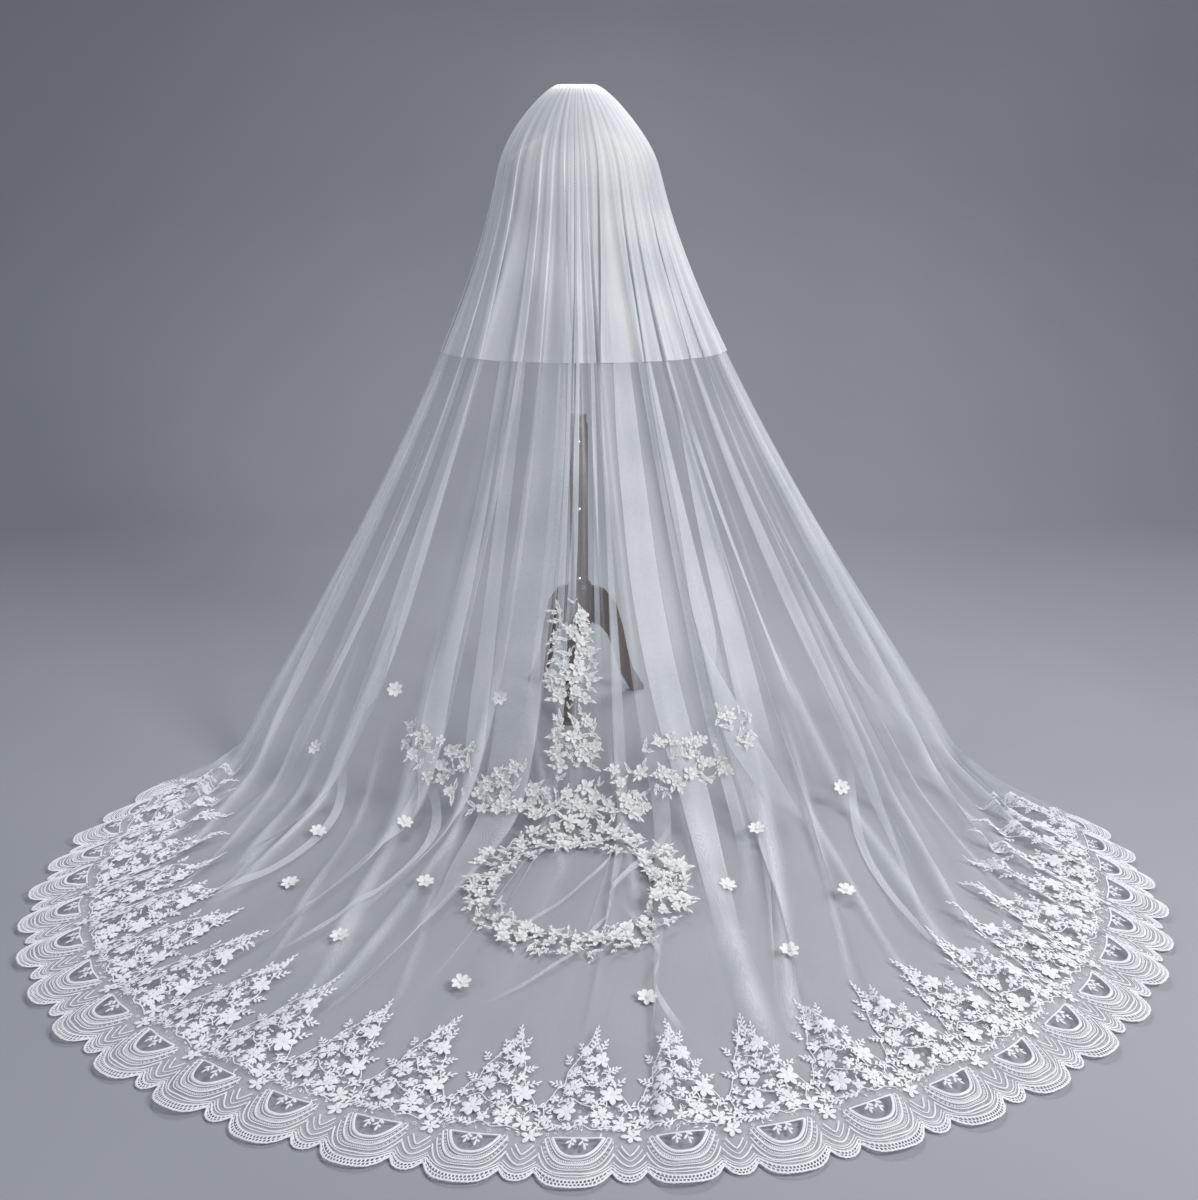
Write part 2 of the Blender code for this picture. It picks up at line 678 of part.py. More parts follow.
def main():
    clear_scene()
    add_long_tier()
    add_short_tier()
    add_comb()
    add_border("lace_left", 0, 9)
    add_border("lace_front", 9, 19)
    add_border("lace_right", 19, REPEATS)
    add_column()
    add_garland()
    add_ring_applique()
    add_flowers()
    add_torso()
    add_stand()
    add_legs()
    add_screws()


main()
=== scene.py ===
"""The visible cloth, lace, flowers and stand of a two-tier cathedral bridal veil."""
import math
from collections import namedtuple

import bmesh
import bpy
import numpy as np
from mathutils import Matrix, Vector
from mathutils.bvhtree import BVHTree


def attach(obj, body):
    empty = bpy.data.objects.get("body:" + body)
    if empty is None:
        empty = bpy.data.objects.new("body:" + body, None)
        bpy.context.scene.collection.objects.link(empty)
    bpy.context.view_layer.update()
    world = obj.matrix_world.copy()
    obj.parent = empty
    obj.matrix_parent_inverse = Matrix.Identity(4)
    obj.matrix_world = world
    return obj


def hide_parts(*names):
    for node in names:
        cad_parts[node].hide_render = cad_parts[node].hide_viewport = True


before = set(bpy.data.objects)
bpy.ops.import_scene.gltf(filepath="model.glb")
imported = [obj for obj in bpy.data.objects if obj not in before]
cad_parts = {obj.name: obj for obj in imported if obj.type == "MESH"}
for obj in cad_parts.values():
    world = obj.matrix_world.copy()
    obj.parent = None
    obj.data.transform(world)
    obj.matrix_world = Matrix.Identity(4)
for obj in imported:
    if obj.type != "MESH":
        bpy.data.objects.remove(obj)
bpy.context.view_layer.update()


# The cloth's sizes, as in the part's source
SEAM_GAP = 0.0003
HANG_POWER = 1.35
SIDE_GAIN = 1.3
END_TAPER = 0.86
LIE_HEIGHT = 0.16
SHOULDER_HEIGHT = 1.475
TIER_EDGE_HEIGHT = 1.01
AXIS = np.array((-0.046, 0.843, 0.0))
FORM_AXIS_Y = 0.01
REPEATS = 28
LACE_LAP = 0.31
FRONT_STRETCH = 0.10
LACE_END = 0.9992
LACE_END_START = 0.7
LACE_END_RUN = 0.3
LACE_END_DROP = 0.4
COMB_TOP = 1.6487
HANG_SWELL = 0.030
SWELL_RATE = 1.35
END_CALM = 0.5

Ring = namedtuple("Ring", "height centre_x centre_y half_width reach sweep turn swell spread")
TOP_RINGS = (
    Ring(COMB_TOP + SEAM_GAP, 0.000, 0.024, 0.046, 0.016, 90, 0, 0.0020, 0),
    Ring(1.6415, 0.000, 0.000, 0.061, 0.058, 95, 0, 0.0025, 0),
    Ring(1.6120, 0.000, 0.000, 0.098, 0.080, 98, 0, 0.0035, 0),
    Ring(1.5500, 0.000, 0.000, 0.152, 0.106, 100, 0, 0.0045, 0),
    Ring(SHOULDER_HEIGHT, 0.004, 0.000, 0.196, 0.132, 102, 0, 0.0060, 0),
)
TOUCH_RING = Ring(0.0, 0.050, -0.330, 0.935, 0.420, 95, 0, 0.024, 0.35)
TRAIN_RING = Ring(0.0, 0.050, -0.630, 1.000, 0.835, 102, -3, 0.017, 1)
HEM_RING = Ring(0.0, 0.046, -0.950, 1.208, 0.884, 110, -6, 0.008, 1)
LACE_TIP_RING = Ring(0.0, 0.046, -0.680, 0.860, 0.790, 110, -4, 0.0, 1)

# One row for each fold, left to right: where its crest hangs, its width and depth as in the
# part's source, how far it is pinched in at its foot, and how far it leans to the right.
Fold = namedtuple("Fold", "place width depth pinch lean")
FOLDS = tuple(Fold(*row) for row in (
    (-0.97, 0.45, 0.9, 0.12, 0.15), (-0.905, 0.5, 0.6, 0.1, -0.4), (-0.835, 0.55, 1.0, 0.15, 0.7),
    (-0.765, 0.35, 0.55, 0.06, 0.35), (-0.69, 0.6, 0.85, 0.12, -0.8), (-0.605, 0.4, 0.6, 0.08, 0.3),
    (-0.51, 0.45, 0.9, 0.1, 0.75), (-0.385, 0.4, 0.7, 0.07, -0.55), (-0.285, 0.55, 0.95, 0.1, 0.6),
    (-0.2, 0.5, 0.75, 0.06, 0.45), (-0.108, 0.7, 1.1, 0.06, 1.0), (-0.052, 0.4, 0.45, 0.05, 0.4),
    (-0.008, 0.4, 0.55, 0.08, -0.3), (0.035, 0.4, 0.45, 0.05, 0.3), (0.09, 0.45, 0.6, 0.06, -0.45),
    (0.166, 0.7, 1.15, 0.06, -1.1), (0.24, 0.4, 0.55, 0.07, 0.4), (0.308, 0.6, 1.0, 0.08, -0.8),
    (0.387, 0.45, 0.8, 0.1, -0.35), (0.465, 0.5, 0.65, 0.08, 0.6), (0.54, 0.45, 0.9, 0.1, -0.7),
    (0.61, 0.4, 0.6, 0.06, -0.35), (0.68, 0.55, 1.0, 0.1, 0.75), (0.75, 0.4, 0.55, 0.06, -0.4),
    (0.815, 0.55, 0.9, 0.12, 0.6), (0.872, 0.45, 0.6, 0.08, -0.35), (0.925, 0.5, 0.95, 0.12, 0.4),
    (0.973, 0.45, 0.8, 0.1, -0.15),
))
STEPS = 26

# Soft creases between the folds: the place and share of the length where each starts and ends,
# its half width as a place and its height in metres.
Crease = namedtuple("Crease", "place share end_place end_share width height")
CREASES = tuple(Crease(*row) for row in (
    (-0.56, 0.55, -0.5, 0.9, 0.011, 0.009), (-0.44, 0.5, -0.5, 0.9, 0.009, 0.008),
    (-0.34, 0.52, -0.27, 0.95, 0.012, 0.012), (-0.18, 0.56, -0.27, 0.95, 0.009, 0.01),
    (-0.12, 0.6, -0.03, 0.76, 0.006, 0.006), (0.02, 0.62, 0.07, 0.8, 0.006, 0.006),
    (0.12, 0.55, 0.21, 0.96, 0.014, 0.014), (0.3, 0.52, 0.22, 0.96, 0.01, 0.011),
    (0.4, 0.55, 0.47, 0.92, 0.01, 0.009), (0.56, 0.5, 0.5, 0.92, 0.009, 0.008),
    (0.33, 0.66, 0.4, 0.93, 0.006, 0.006), (0.36, 0.6, 0.31, 0.9, 0.006, 0.007),
    (-0.4, 0.62, -0.35, 0.92, 0.006, 0.007), (-0.22, 0.66, -0.18, 0.9, 0.005, 0.005),
    (-0.72, 0.58, -0.66, 0.92, 0.009, 0.008), (0.66, 0.58, 0.72, 0.92, 0.009, 0.008),
    (-0.62, 0.6, -0.58, 0.94, 0.006, 0.006), (0.6, 0.6, 0.63, 0.94, 0.006, 0.006),
    (-0.8, 0.6, -0.77, 0.95, 0.008, 0.007), (0.79, 0.6, 0.8, 0.95, 0.008, 0.007),
    (-0.3, 0.2, -0.25, 0.5, 0.006, 0.004), (0.27, 0.22, 0.21, 0.5, 0.006, 0.004),
    (-0.02, 0.24, 0.01, 0.52, 0.005, 0.003), (0.13, 0.26, 0.12, 0.54, 0.005, 0.003),
    (-0.15, 0.22, -0.16, 0.48, 0.005, 0.003), (0.44, 0.3, 0.42, 0.56, 0.006, 0.004),
    (-0.06, 0.12, -0.075, 0.58, 0.0035, 0.003), (-0.038, 0.16, -0.03, 0.6, 0.0035, 0.004),
    (0.005, 0.14, -0.01, 0.56, 0.0035, 0.003), (0.022, 0.18, 0.028, 0.62, 0.0035, 0.004),
    (0.05, 0.12, 0.056, 0.54, 0.0035, 0.003), (0.072, 0.16, 0.085, 0.64, 0.0035, 0.004),
    (-0.52, 0.3, -0.47, 0.6, 0.005, 0.004), (-0.62, 0.34, -0.6, 0.62, 0.005, 0.004),
    (0.55, 0.3, 0.57, 0.6, 0.005, 0.004), (0.36, 0.22, 0.34, 0.58, 0.004, 0.004),
))

# Flattened pleats, where the net lies doubled between two crisp edges: knots of the share of the
# length and the place across the net, the width at each end, and how much light the pleat stops.
Strip = namedtuple("Strip", "knots width end_width cover")
STRIPS = tuple(Strip(*row) for row in (
    (((0.27, 0.362), (0.53, 0.366), (0.77, 0.373), (0.84, 0.392)), 0.0165, 0.015, 0.34),
    (((0.28, 0.286), (0.49, 0.299), (0.64, 0.3), (0.75, 0.318)), 0.0105, 0.009, 0.46),
    (((0.27, 0.318), (0.48, 0.328), (0.65, 0.337), (0.75, 0.352)), 0.01, 0.0065, 0.46),
    (((0.27, 0.392), (0.53, 0.388), (0.63, 0.398)), 0.007, 0.008, 0.55),
    (((0.27, 0.411), (0.53, 0.409), (0.61, 0.409)), 0.006, 0.006, 0.55),
    (((0.27, 0.451), (0.53, 0.449), (0.58, 0.446)), 0.006, 0.006, 0.55),
    (((0.27, 0.48), (0.53, 0.472), (0.6, 0.474)), 0.006, 0.006, 0.55),
    (((0.27, 0.505), (0.55, 0.498), (0.63, 0.501)), 0.007, 0.007, 0.55),
    (((0.27, 0.566), (0.56, 0.561), (0.74, 0.568), (0.84, 0.577)), 0.0085, 0.009, 0.5),
    (((0.27, 0.583), (0.45, 0.578), (0.65, 0.577), (0.76, 0.584)), 0.005, 0.006, 0.55),
    (((0.27, 0.611), (0.51, 0.611), (0.64, 0.63), (0.73, 0.64)), 0.012, 0.0107, 0.42),
    (((0.27, 0.66), (0.43, 0.642), (0.61, 0.636), (0.68, 0.634)), 0.01, 0.01, 0.46),
    (((0.27, 0.765), (0.42, 0.752), (0.59, 0.766), (0.68, 0.8)), 0.014, 0.018, 0.3),
    (((0.38, 0.664), (0.5, 0.667), (0.63, 0.674)), 0.006, 0.006, 0.55),
    (((0.27, 0.122), (0.45, 0.108), (0.62, 0.102)), 0.014, 0.014, 0.28),
    (((0.27, 0.214), (0.51, 0.212), (0.66, 0.2)), 0.0105, 0.01, 0.46),
    (((0.27, 0.246), (0.44, 0.234), (0.62, 0.236), (0.71, 0.268)), 0.009, 0.0065, 0.46),
    (((0.27, 0.052), (0.45, 0.048), (0.62, 0.045)), 0.012, 0.014, 0.3),
    (((0.27, 0.9), (0.45, 0.905), (0.62, 0.912)), 0.012, 0.014, 0.3),
    (((0.69, 0.54), (0.77, 0.52), (0.87, 0.455)), 0.003, 0.003, 0.46),
    (((0.78, 0.52), (0.82, 0.545), (0.9, 0.56)), 0.003, 0.0024, 0.4),
    (((0.7, 0.5), (0.76, 0.48), (0.83, 0.44)), 0.0026, 0.0026, 0.36),
    (((0.66, 0.32), (0.75, 0.35), (0.88, 0.33)), 0.004, 0.003, 0.4),
    (((0.66, 0.268), (0.75, 0.285), (0.88, 0.262)), 0.004, 0.003, 0.4),
    (((0.64, 0.6), (0.75, 0.625), (0.9, 0.61)), 0.004, 0.003, 0.4),
    (((0.66, 0.69), (0.76, 0.675), (0.88, 0.7)), 0.004, 0.003, 0.4),
))
STRIP_COLUMNS = 9
STRIP_LIFT = 0.004
STRIP_EASE = 15
STRIP_FADE = 0.22
CREASE_FADE = 0.25

# How calm the folds are over the form, and how they wander and double back further down
TOP_CALM = 0.40
TOP_CALM_FADE = (0.10, 0.40)
CURL_FADE = (0.10, 0.42)
WANDER = 0.25
WANDER_RATE = 9
WANDER_STEP = 2.4
# Where they open out again on the floor: earlier at the sides, and by how much
OPEN_SHARES = (0.62, 0.97)
OPENED = 0.88
SIDE_PLACES = (0.35, 0.70)
SIDE_EARLIER = 0.20

# Fine pleats that the gathers leave in the net, drawn from a seeded list of chances
FINE_PLEATS = 130
FINE_WIDTH = (0.0020, 0.0042)
FINE_HEIGHT = (0.0009, 0.0026)
FINE_FULL_WIDTH = 0.55
FINE_SEED = 6
FINE_FADE = 0.15
SHORT_LIFT = 0.0035

# How high a crease or a pleat stands for each layer of net that it adds, and the most it adds
CREASE_LAYER = 0.0021
PLEAT_LAYER = 0.0016
MOST_LAYERS = 5.0
LEAST_SLOPE = 0.22

# How much light one layer stops, by the share of the length from comb to hem
NET_DENSITY = ((0.0, 0.72), (0.04, 0.56), (0.10, 0.46), (0.20, 0.36), (0.32, 0.12), (0.55, 0.10),
               (0.70, 0.10), (1.0, 0.11))
SHORT_DENSITY = ((0.0, 0.86), (0.10, 0.76), (0.5, 0.64), (0.85, 0.54), (0.97, 0.42), (1.0, 0.50))

# Rows of the modelled cloth between its rings
TOP_STEPS = 5
FALL_STEPS = 56
TRAIN_STEPS = 20
HEM_STEPS = 14
SHORT_TOP_STEPS = 6
SHORT_FALL_STEPS = 70
SOFT_REACH = 2
ROW_FIELDS = {name: k for k, name in enumerate(Ring._fields)}


def even_at(share):
    """Place of a share of the border's repeats, as in the part's source."""
    place = -1.0 + 2.0 * share
    return place * (1.0 + FRONT_STRETCH * (1.0 - place ** 2))


def mixed(first, second, shares):
    """Ring settings at several shares of the way between two rings, one row each."""
    low, high = np.array(first, float), np.array(second, float)
    return low + (high - low) * np.asarray(shares, float)[:, None]


def hanging(height):
    """A ring between the shoulders and the floor, as in the part's source."""
    drop = 1.0 - height / SHOULDER_HEIGHT
    ring = mixed(TOP_RINGS[-1], TOUCH_RING, [drop ** HANG_POWER])[0]
    shoulder_swell = TOP_RINGS[-1].swell
    ring[ROW_FIELDS["height"]] = height
    full = min(1.0, SWELL_RATE * drop)
    ring[ROW_FIELDS["swell"]] = shoulder_swell + (HANG_SWELL - shoulder_swell) * full
    ring[ROW_FIELDS["spread"]] = TOUCH_RING.spread * drop ** 2
    return ring


def softened(rows):
    """Rows averaged with their neighbours, so that the cloth bends where the rings change."""
    pad = 3 * SOFT_REACH
    weights = np.exp(-0.5 * (np.arange(-pad, pad + 1) / SOFT_REACH) ** 2)
    weights /= weights.sum()
    before = 2 * rows[0] - rows[pad:0:-1]
    after = 2 * rows[-1] - rows[-2:-pad - 2:-1]
    long = np.concatenate((before, rows, after))
    return np.stack([np.convolve(long[:, k], weights, "valid") for k in range(rows.shape[1])], 1)


def upper_rows(top_steps, fall_steps):
    """Rows from the comb over the shoulders and down to the floor."""
    shares = np.arange(top_steps) / top_steps
    parts = [mixed(a, b, shares) for a, b in zip(TOP_RINGS, TOP_RINGS[1:])]
    heights = SHOULDER_HEIGHT - SHOULDER_HEIGHT * np.arange(fall_steps) / fall_steps
    return np.concatenate(parts + [[hanging(z) for z in heights]])


def panel_rows():
    """Every row of the long tier, from the comb to its hem under the lace."""
    return softened(np.concatenate((
        upper_rows(TOP_STEPS, FALL_STEPS),
        mixed(TOUCH_RING, TRAIN_RING, np.arange(TRAIN_STEPS) / TRAIN_STEPS),
        mixed(HEM_RING, TRAIN_RING, np.linspace(1.0, LACE_LAP, HEM_STEPS)),
    )))


def short_rows():
    whole = softened(upper_rows(SHORT_TOP_STEPS, SHORT_FALL_STEPS))
    kept = whole[whole[:, ROW_FIELDS["height"]] >= TIER_EDGE_HEIGHT]
    return np.concatenate((kept, hanging(TIER_EDGE_HEIGHT)[None]))


def row(rows, name):
    return rows[:, ROW_FIELDS[name]][:, None]


def fold_columns(steps):
    """For each column: the fold's index and how far along the fold it is."""
    count = len(FOLDS)
    index = np.repeat(np.arange(count), steps)
    along = np.tile(np.arange(steps) / steps, count)
    return np.append(index, count - 1), np.append(along, 1.0)


def fold_values(name):
    return np.array([getattr(f, name) for f in FOLDS])


def fold_rooms():
    crest = fold_values("place")
    middles = (crest[1:] + crest[:-1]) / 2
    return np.concatenate(((-1.0,), middles)), np.concatenate((middles, (1.0,)))


def ring_points(rows, place):
    """Points on the rings, and the direction across each ring."""
    angle = np.radians(place * row(rows, "sweep") + row(rows, "turn"))
    half_width, reach = row(rows, "half_width"), row(rows, "reach")
    x = row(rows, "centre_x") + half_width * np.sin(angle)
    y = row(rows, "centre_y") - reach * np.cos(angle)
    z = np.broadcast_to(row(rows, "height"), x.shape)
    points = np.stack((x, y, z), -1)
    return points, np.stack((half_width * np.cos(angle), reach * np.sin(angle), 0 * x), -1)


def unit(vectors):
    return vectors / np.maximum(np.linalg.norm(vectors, axis=-1, keepdims=True), 1e-12)


def facing_out(points, across, rows):
    """The way the cloth faces without its folds: upright where it lies on the floor."""
    out = unit(np.cross(np.gradient(points, axis=0), across))
    lying = np.clip(1.0 - row(rows, "height") / LIE_HEIGHT, 0.0, 1.0)[..., None]
    lying = np.broadcast_to(lying, out.shape[:2] + (1,))
    return unit(out * (1 - lying) + np.array((0.0, 0.0, 1.0)) * lying)


def smooth_step(values, low, high):
    t = np.clip((values - low) / (high - low), 0.0, 1.0)
    return t * t * (3 - 2 * t)


def faded(along, fade):
    """1 along a line, and down to 0 at both of its ends."""
    return smooth_step(along, 0, fade) * (1 - smooth_step(along, 1 - fade, 1))


def crease_height(place, share):
    total = np.zeros(np.broadcast_shapes(place.shape, share.shape))
    for crease in CREASES:
        along = (share - crease.share) / (crease.end_share - crease.share)
        middle = crease.place + (crease.end_place - crease.place) * along
        bump = np.exp(-((place - middle) / crease.width) ** 2)
        total = total + crease.height * faded(along, CREASE_FADE) * bump
    return total


def fine_pleats(fabric, share):
    """Heights of the fine pleats. fabric is the place along the cloth's width, from 0 to 1."""
    chance = np.random.default_rng(FINE_SEED)
    total = np.zeros(np.broadcast_shapes(fabric.shape, share.shape))
    for k in range(FINE_PLEATS):
        start = (k + chance.uniform(-0.4, 1.4)) / FINE_PLEATS
        drift = chance.uniform(-0.010, 0.010)
        fade_in = chance.uniform(0.02, 0.30)
        fade_out = fade_in + chance.uniform(0.25, 0.75)
        width = chance.uniform(*FINE_WIDTH)
        height = chance.uniform(*FINE_HEIGHT)
        inside = smooth_step(share, fade_in - 0.03, fade_in + 0.05)
        inside = inside * (1 - smooth_step(share, fade_out - FINE_FADE, fade_out))
        middle = start + drift * share
        total = total + height * inside * np.exp(-((fabric - middle) / width) ** 2)
    return total


def side_gain(place, spread):
    near_end = np.clip((np.abs(place) - END_TAPER) / (1.0 - END_TAPER), 0.0, 1.0)
    return 1.0 + SIDE_GAIN * spread * np.abs(place) ** 2 - END_CALM * near_end


def cloth(rows, share, steps, lift, curl):
    """Points and outward directions of a folded sheet, lifted off the base form, and how many
    more layers lie in its creases. share runs from 0 at the comb to 1 at the hem, and curl is how
    strongly the folds double back."""
    index, along = fold_columns(steps)
    left, right = (ends[index][None] for ends in fold_rooms())
    pinch, lean, depth = (fold_values(n)[index][None] for n in ("pinch", "lean", "depth"))
    spread = row(rows, "spread")
    wave = 0.5 - 0.5 * np.cos(2 * np.pi * along)[None]
    wander = 1.0 + WANDER * np.sin(WANDER_RATE * share + WANDER_STEP * index[None])
    across = along[None] + curl * wander * (
        pinch * np.sin(4 * np.pi * along)[None] + lean * wave
    )
    hang_place = left + (right - left) * across
    even_place = even_at((index[None] + across) / len(FOLDS))
    place = hang_place + (even_place - hang_place) * spread
    points, direction = ring_points(rows, place)
    out = facing_out(points, direction, rows)
    rise = row(rows, "swell") * side_gain(hang_place, spread) * depth * wave
    rise = rise * (TOP_CALM + (1 - TOP_CALM) * smooth_step(share, *TOP_CALM_FADE))
    creases = crease_height(hang_place + (even_place - hang_place) * np.maximum(spread, 0.0), share)
    pleats = fine_pleats((index[None] + along[None]) / len(FOLDS), share)
    layers = np.clip(creases / CREASE_LAYER + pleats / PLEAT_LAYER, 0, MOST_LAYERS)
    small = np.clip(row(rows, "half_width") / FINE_FULL_WIDTH, 0, 1)
    rise = rise + small * (creases + pleats) + lift
    return points + out * rise[..., None], out, layers * small


def grid_faces(rows, cols):
    start = (np.arange(rows - 1)[:, None] * cols + np.arange(cols - 1)[None]).ravel()
    return np.stack((start, start + cols, start + cols + 1, start + 1), 1)


def grid_part(points):
    """The points of a grid in one list, and the faces between them."""
    return points.reshape(-1, 3), grid_faces(*points.shape[:2])


def joined(parts):
    """One list of points and one of faces from several pairs of both."""
    points, faces, start = [], [], 0
    for some_points, some_faces in parts:
        points.append(some_points)
        faces.append(some_faces + start)
        start += len(some_points)
    return np.concatenate(points), np.concatenate(faces)


def new_object(name, data):
    obj = bpy.data.objects.new(name, data)
    bpy.context.scene.collection.objects.link(obj)
    return obj


def mesh_object(name, points, faces, smooth=True):
    """An object from arrays of points and faces that all have the same number of corners."""
    points = np.asarray(points, float).reshape(-1, 3) + AXIS
    faces = np.asarray(faces, int)
    mesh = bpy.data.meshes.new(name)
    mesh.vertices.add(len(points))
    mesh.vertices.foreach_set("co", points.ravel())
    corners = faces.shape[1]
    mesh.loops.add(faces.size)
    mesh.loops.foreach_set("vertex_index", faces.ravel())
    mesh.polygons.add(len(faces))
    mesh.polygons.foreach_set("loop_start", np.arange(len(faces)) * corners)
    mesh.update(calc_edges=True)
    mesh.validate()
    mesh.polygons.foreach_set("use_smooth", np.full(len(mesh.polygons), smooth))
    return new_object(name, mesh)


def set_density(obj, values):
    layer = obj.data.attributes.new("cover", "FLOAT", "POINT")
    layer.data.foreach_set("value", np.asarray(values, float).ravel())


def layer_density(points, out, layers, single):
    """Denser where a layer is creased or seen on edge, as fine net is."""
    normals = unit(np.cross(np.gradient(points, axis=0), np.gradient(points, axis=1)))
    slope = np.clip(np.abs((normals * out).sum(-1)), LEAST_SLOPE, 1.0)
    return 1 - (1 - single) ** (1 / slope + layers)


def table_at(table, shares):
    places, values = zip(*table)
    return np.interp(shares, places, values)


# Materials


class Look:
    """A material's nodes and links."""

    def __init__(self, name, settings=()):
        self.material = bpy.data.materials.new(name)
        self.material.use_nodes = True
        self.tree = self.material.node_tree
        self.shader = self.tree.nodes["Principled BSDF"]
        for key, value in dict(settings).items():
            self.shader.inputs[key].default_value = value

    def node(self, kind, **settings):
        made = self.tree.nodes.new(kind)
        for key, value in settings.items():
            if key in made.inputs:
                made.inputs[key].default_value = value
            else:
                setattr(made, key, value)
        return made

    def link(self, output, node, name):
        self.tree.links.new(output, node.inputs[name])

    def noise(self, scale, detail=3.0, stretch=None):
        place = self.node("ShaderNodeTexCoord").outputs["Object"]
        if stretch is not None:
            mapping = self.node("ShaderNodeMapping", Scale=stretch)
            self.link(place, mapping, "Vector")
            place = mapping.outputs["Vector"]
        texture = self.node("ShaderNodeTexNoise", Scale=scale, Detail=detail)
        self.link(place, texture, "Vector")
        return texture.outputs["Fac"]

    def remap(self, source, low, high, from_low=0.3, from_high=0.7):
        node = self.node("ShaderNodeMapRange")
        names = ("From Min", "From Max", "To Min", "To Max")
        for name, value in zip(names, (from_low, from_high, low, high)):
            node.inputs[name].default_value = value
        self.link(source, node, "Value")
        return node.outputs["Result"]

    def colour(self, factor, first, second):
        ramp = self.node("ShaderNodeValToRGB")
        stops = zip(ramp.color_ramp.elements, (first, second), (0.3, 0.7))
        for stop, colour, position in stops:
            stop.color = (*colour, 1)
            stop.position = position
        self.link(factor, ramp, "Fac")
        self.link(ramp.outputs["Color"], self.shader, "Base Color")

    def roughen(self, source, low, high):
        self.link(self.remap(source, low, high), self.shader, "Roughness")

    def bump(self, height, strength, distance):
        node = self.node("ShaderNodeBump", Strength=strength, Distance=distance)
        self.link(height, node, "Height")
        self.link(node.outputs["Normal"], self.shader, "Normal")

    def product(self, first, second):
        node = self.node("ShaderNodeMath", operation="MULTIPLY", use_clamp=True)
        self.link(first, node, 0)
        self.link(second, node, 1)
        return node.outputs["Value"]


def net_material(name, colour, tint, cell, contrast):
    """Sheer net: its density comes from the cloth, broken up by the cells of the net."""
    look = Look(name, {"Roughness": 0.6, "Specular IOR Level": 0.2})
    shade = look.noise(7.0, 0.0)
    look.colour(shade, tint, colour)
    density = look.node("ShaderNodeAttribute", attribute_name="cover").outputs["Fac"]
    cells = look.node("ShaderNodeTexVoronoi", feature="F1", Scale=1 / cell, Randomness=0.4)
    look.link(look.node("ShaderNodeTexCoord").outputs["Object"], cells, "Vector")
    threads = look.remap(cells.outputs["Distance"], 1 - contrast, 1 + contrast, 0.35, 0.65)
    cloudy = look.remap(shade, 0.88, 1.12)
    look.link(look.product(look.product(density, threads), cloudy), look.shader, "Alpha")
    return look.material


def thread_material(name, colour, tint, roughness, grain):
    """Embroidery thread or cut fabric, with its fine stitches as bump."""
    look = Look(name, {"Roughness": roughness, "Sheen Weight": 0.3})
    look.colour(look.noise(60.0), tint, colour)
    look.bump(look.noise(grain, 2.0, (1.0, 0.35, 1.0)), 0.5, 0.0006)
    return look.material


def linen_material():
    look = Look("form_linen", {"Roughness": 0.88, "Sheen Weight": 0.15})
    look.colour(look.noise(14.0), (0.78, 0.72, 0.62), (0.88, 0.83, 0.74))
    warp, weft = (look.noise(420.0, 2.0, s) for s in ((1.0, 1.0, 0.12), (0.12, 0.12, 1.0)))
    look.bump(look.product(warp, weft), 0.6, 0.0008)
    return look.material


def wood_material():
    look = Look("dark_wood", {"Coat Weight": 0.15, "Coat Roughness": 0.25})
    grain = look.noise(55.0, 5.0, (1.0, 1.0, 0.07))
    look.colour(grain, (0.034, 0.016, 0.010), (0.080, 0.040, 0.025))
    look.roughen(look.noise(22.0), 0.30, 0.48)
    look.bump(grain, 0.25, 0.0006)
    return look.material


def steel_material():
    look = Look("steel", {"Metallic": 1.0})
    lines = look.noise(300.0, 3.0, (1.0, 1.0, 0.05))
    look.colour(lines, (0.66, 0.66, 0.67), (0.84, 0.84, 0.85))
    look.roughen(lines, 0.20, 0.34)
    return look.material


def plastic_material():
    look = Look("comb_plastic", {"Coat Weight": 0.3})
    shade = look.noise(40.0)
    look.colour(shade, (0.80, 0.81, 0.84), (0.88, 0.89, 0.92))
    look.roughen(shade, 0.22, 0.34)
    return look.material


NET = net_material("tulle", (0.93, 0.94, 0.97), (0.88, 0.90, 0.95), 0.0016, 0.22)
SHORT_NET = net_material("tulle_short", (0.95, 0.96, 0.98), (0.91, 0.93, 0.97), 0.0016, 0.12)
LACE_NET = net_material("lace_net", (0.93, 0.94, 0.97), (0.88, 0.90, 0.94), 0.0022, 0.30)
THREAD = thread_material("lace_thread", (0.94, 0.94, 0.96), (0.84, 0.85, 0.89), 0.50, 900.0)
PETAL = thread_material("applique_petal", (0.95, 0.95, 0.95), (0.88, 0.88, 0.89), 0.42, 1200.0)
LINEN = linen_material()
WOOD = wood_material()
STEEL = steel_material()
PLASTIC = plastic_material()


def dress(obj, material, slot, *nodes):
    """Give a piece its material, hang it on the root body and hide the frame's nodes that it stands
    in for.
    """
    obj.data.materials.append(material)
    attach(obj, "root")
    if nodes:
        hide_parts(*nodes)
    return obj


# The two tiers


def hanging_curl(share):
    return smooth_step(share, *CURL_FADE)


def eased(values):
    """The same values with their corners rounded, each end kept."""
    half = STRIP_EASE // 2
    padded = np.pad(values, half, mode="reflect", reflect_type="odd")
    return np.convolve(padded, np.full(STRIP_EASE, 1 / STRIP_EASE), mode="valid")


